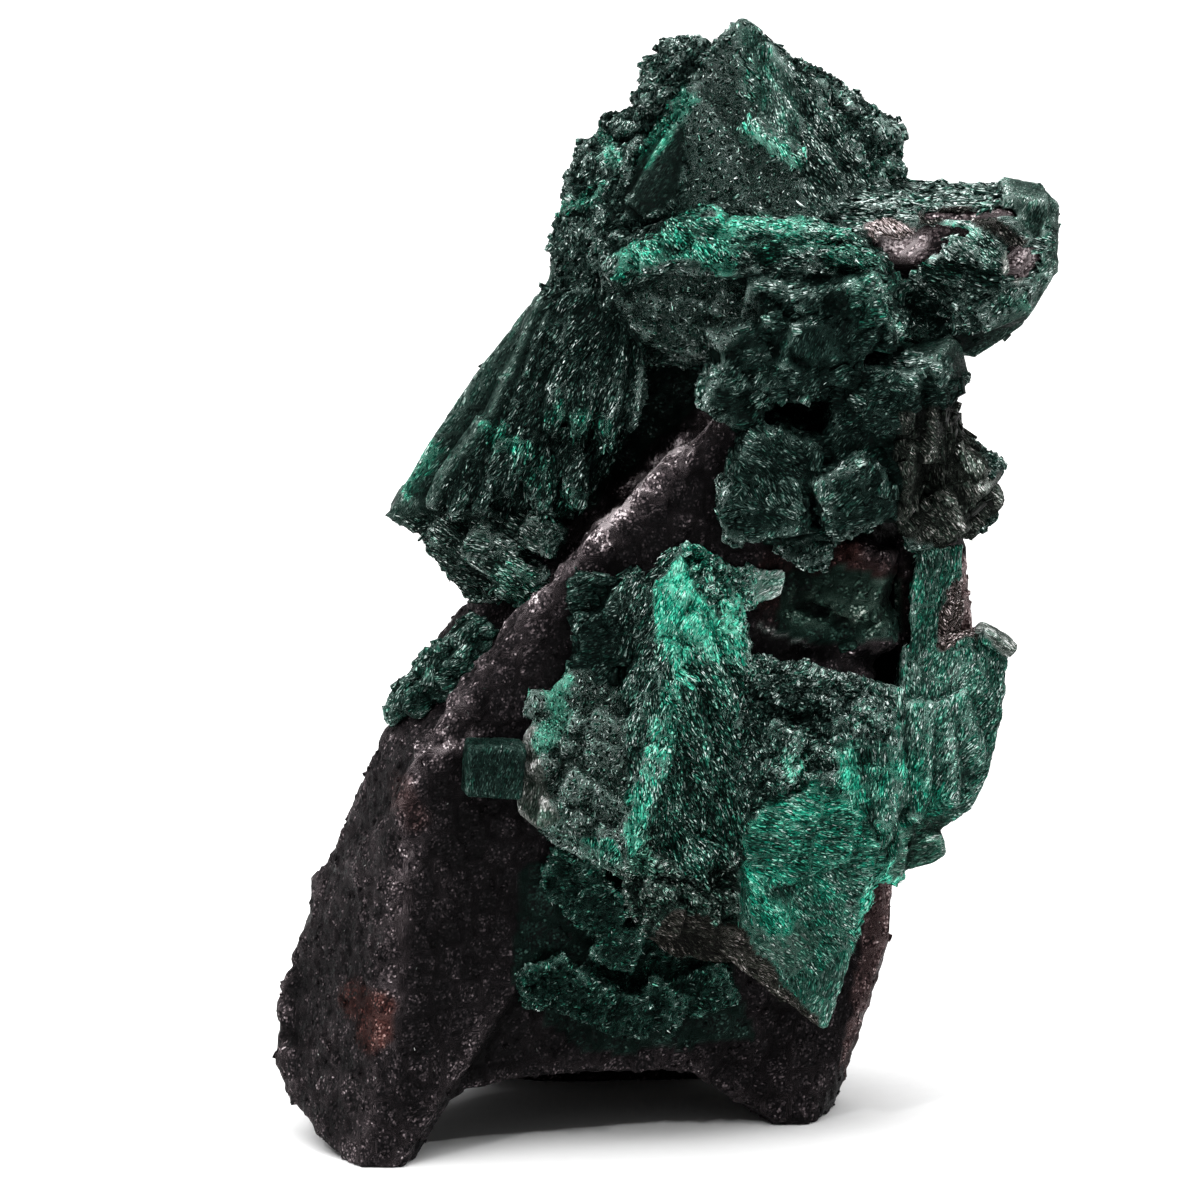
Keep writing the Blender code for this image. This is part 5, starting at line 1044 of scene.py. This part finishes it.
GRAINS = {
    "upper": 40000, "fan": 34000, "skirt": 4000, "left_crust": 1500, "cube": 300, "matrix": 11000,
}
CHIPS = {"upper": 3000, "fan": 2000, "skirt": 150, "left_crust": 60, "matrix": 1500}
FIRST_SEEDS = 1, 11, 21  # of the bodies, the grains and the chips


def build():
    green = malachite("malachite"), "malachite"
    dark = malachite("dark_malachite"), "dark_malachite"
    stone = rock("matrix_rock"), "matrix"
    bodies = (
        # The part, its piece, node and looks, its regions and marks, and how wide a step its mesh has
        ("matrix", "matrix_rock", "matrix", stone, ROCK_REGIONS, ROCK_MARKS, 0.44),
        ("upper", "upper_crystals", "malachite_upper", green, UPPER_REGIONS, UPPER_MARKS, 0.26),
        ("fan", "fan_crystals", "malachite_fan", green, FAN_REGIONS, FAN_MARKS, 0.20),
        ("skirt", "skirt_crystals", "malachite_skirt", dark, SKIRT_REGIONS, (), 0.22),
        ("cube", "cube_crystal", "malachite_cube", dark, CUBE_REGIONS, (), 0.15),
        ("left_crust", "left_crust", "malachite_left_crust", dark, CRUST_REGIONS, (), 0.22),
    )
    body_seed, grain_seed, chip_seed = FIRST_SEEDS
    grown = {}
    for seed, (part, name, node, looks, regions, marks, step) in enumerate(bodies, body_seed):
        grown[part] = (*body(name, node, *looks, regions, marks, step, seed), *looks)
    for seed, (part, count) in enumerate(GRAINS.items(), grain_seed):
        needles(f"{part}_grains", *grown[part], count, seed)
    for seed, (part, count) in enumerate(CHIPS.items(), chip_seed):
        chips(f"{part}_chips", *grown[part], count, seed)


# Floor, light and camera

FLOOR_SIZE = 30.0  # from its middle to its sides, in metres
FLOOR_DROP = 0.00002
SPECKLES = 900.0  # to a metre


def floor():
    size = FLOOR_SIZE
    mesh = bpy.data.meshes.new("floor")
    mesh.from_pydata(
        [(-size, -size, 0), (size, -size, 0), (size, size, 0), (-size, size, 0)], [], [(0, 1, 2, 3)]
    )
    n = Nodes("floor")
    place = n.add("ShaderNodeTexCoord")["Object"]
    grain = {"Vector": place, "Scale": SPECKLES, "Detail": 2.0, "Roughness": 0.6}
    speckle = n.add("ShaderNodeTexNoise", grain)["Fac"]
    shade = n.ramp(speckle, evenly((0.80, 0.80, 0.80), (0.84, 0.84, 0.84)))
    n.feed(n.surface, {"Base Color": shade, "Roughness": 0.9})
    mesh.materials.append(n.material)
    piece = add_object("floor", mesh)
    piece.location.z = -FLOOR_DROP


def softbox(name, place, size, brightness):
    """A soft light that faces the specimen. The brightness is that of its face, 1 being white."""
    light = bpy.data.lights.new(name, "AREA")
    light.shape = "RECTANGLE"
    light.size, light.size_y = size
    light.energy = brightness * math.pi * size[0] * size[1]
    lamp = add_object(name, light)
    lamp.location = place
    lamp.rotation_euler = (LIGHT_AIM - lamp.location).to_track_quat("-Z", "Y").to_euler()


def studio():
    world = bpy.data.worlds.new("studio")
    world.use_nodes = True
    background = world.node_tree.nodes["Background"]
    background.inputs["Color"].default_value = (1.0, 1.0, 1.0, 1.0)
    background.inputs["Strength"].default_value = 0.20
    bpy.context.scene.world = world
    softbox("top", (-0.1, 0.1, 1.2), (2.2, 2.2), 3.6)
    softbox("front_left", (-0.45, -0.75, 1.00), (0.60, 0.60), 2.6)
    softbox("glint_left", (-0.35, -0.75, 0.65), (0.03, 0.03), 700.0)
    softbox("glint_right", (0.45, -0.60, 0.80), (0.03, 0.03), 500.0)


def camera():
    across, up, back = PICTURE_MIDDLE
    target = spot(across, up, back) + PICTURE_ZERO
    place = target + TOWARDS * CAMERA_DISTANCE
    data = bpy.data.cameras.new("camera")
    data.sensor_width = SENSOR
    data.lens = SENSOR * CAMERA_DISTANCE / PICTURE_WIDTH
    data.clip_start, data.clip_end = NEAREST, FARTHEST
    viewer = add_object("camera", data)
    viewer.location = place * MM
    viewer.rotation_euler = (math.pi / 2 - LOOK_DOWN, 0.0, 0.0)
    bpy.context.scene.camera = viewer


build()
floor()
studio()
camera()
bpy.context.scene.view_settings.view_transform = "Standard"
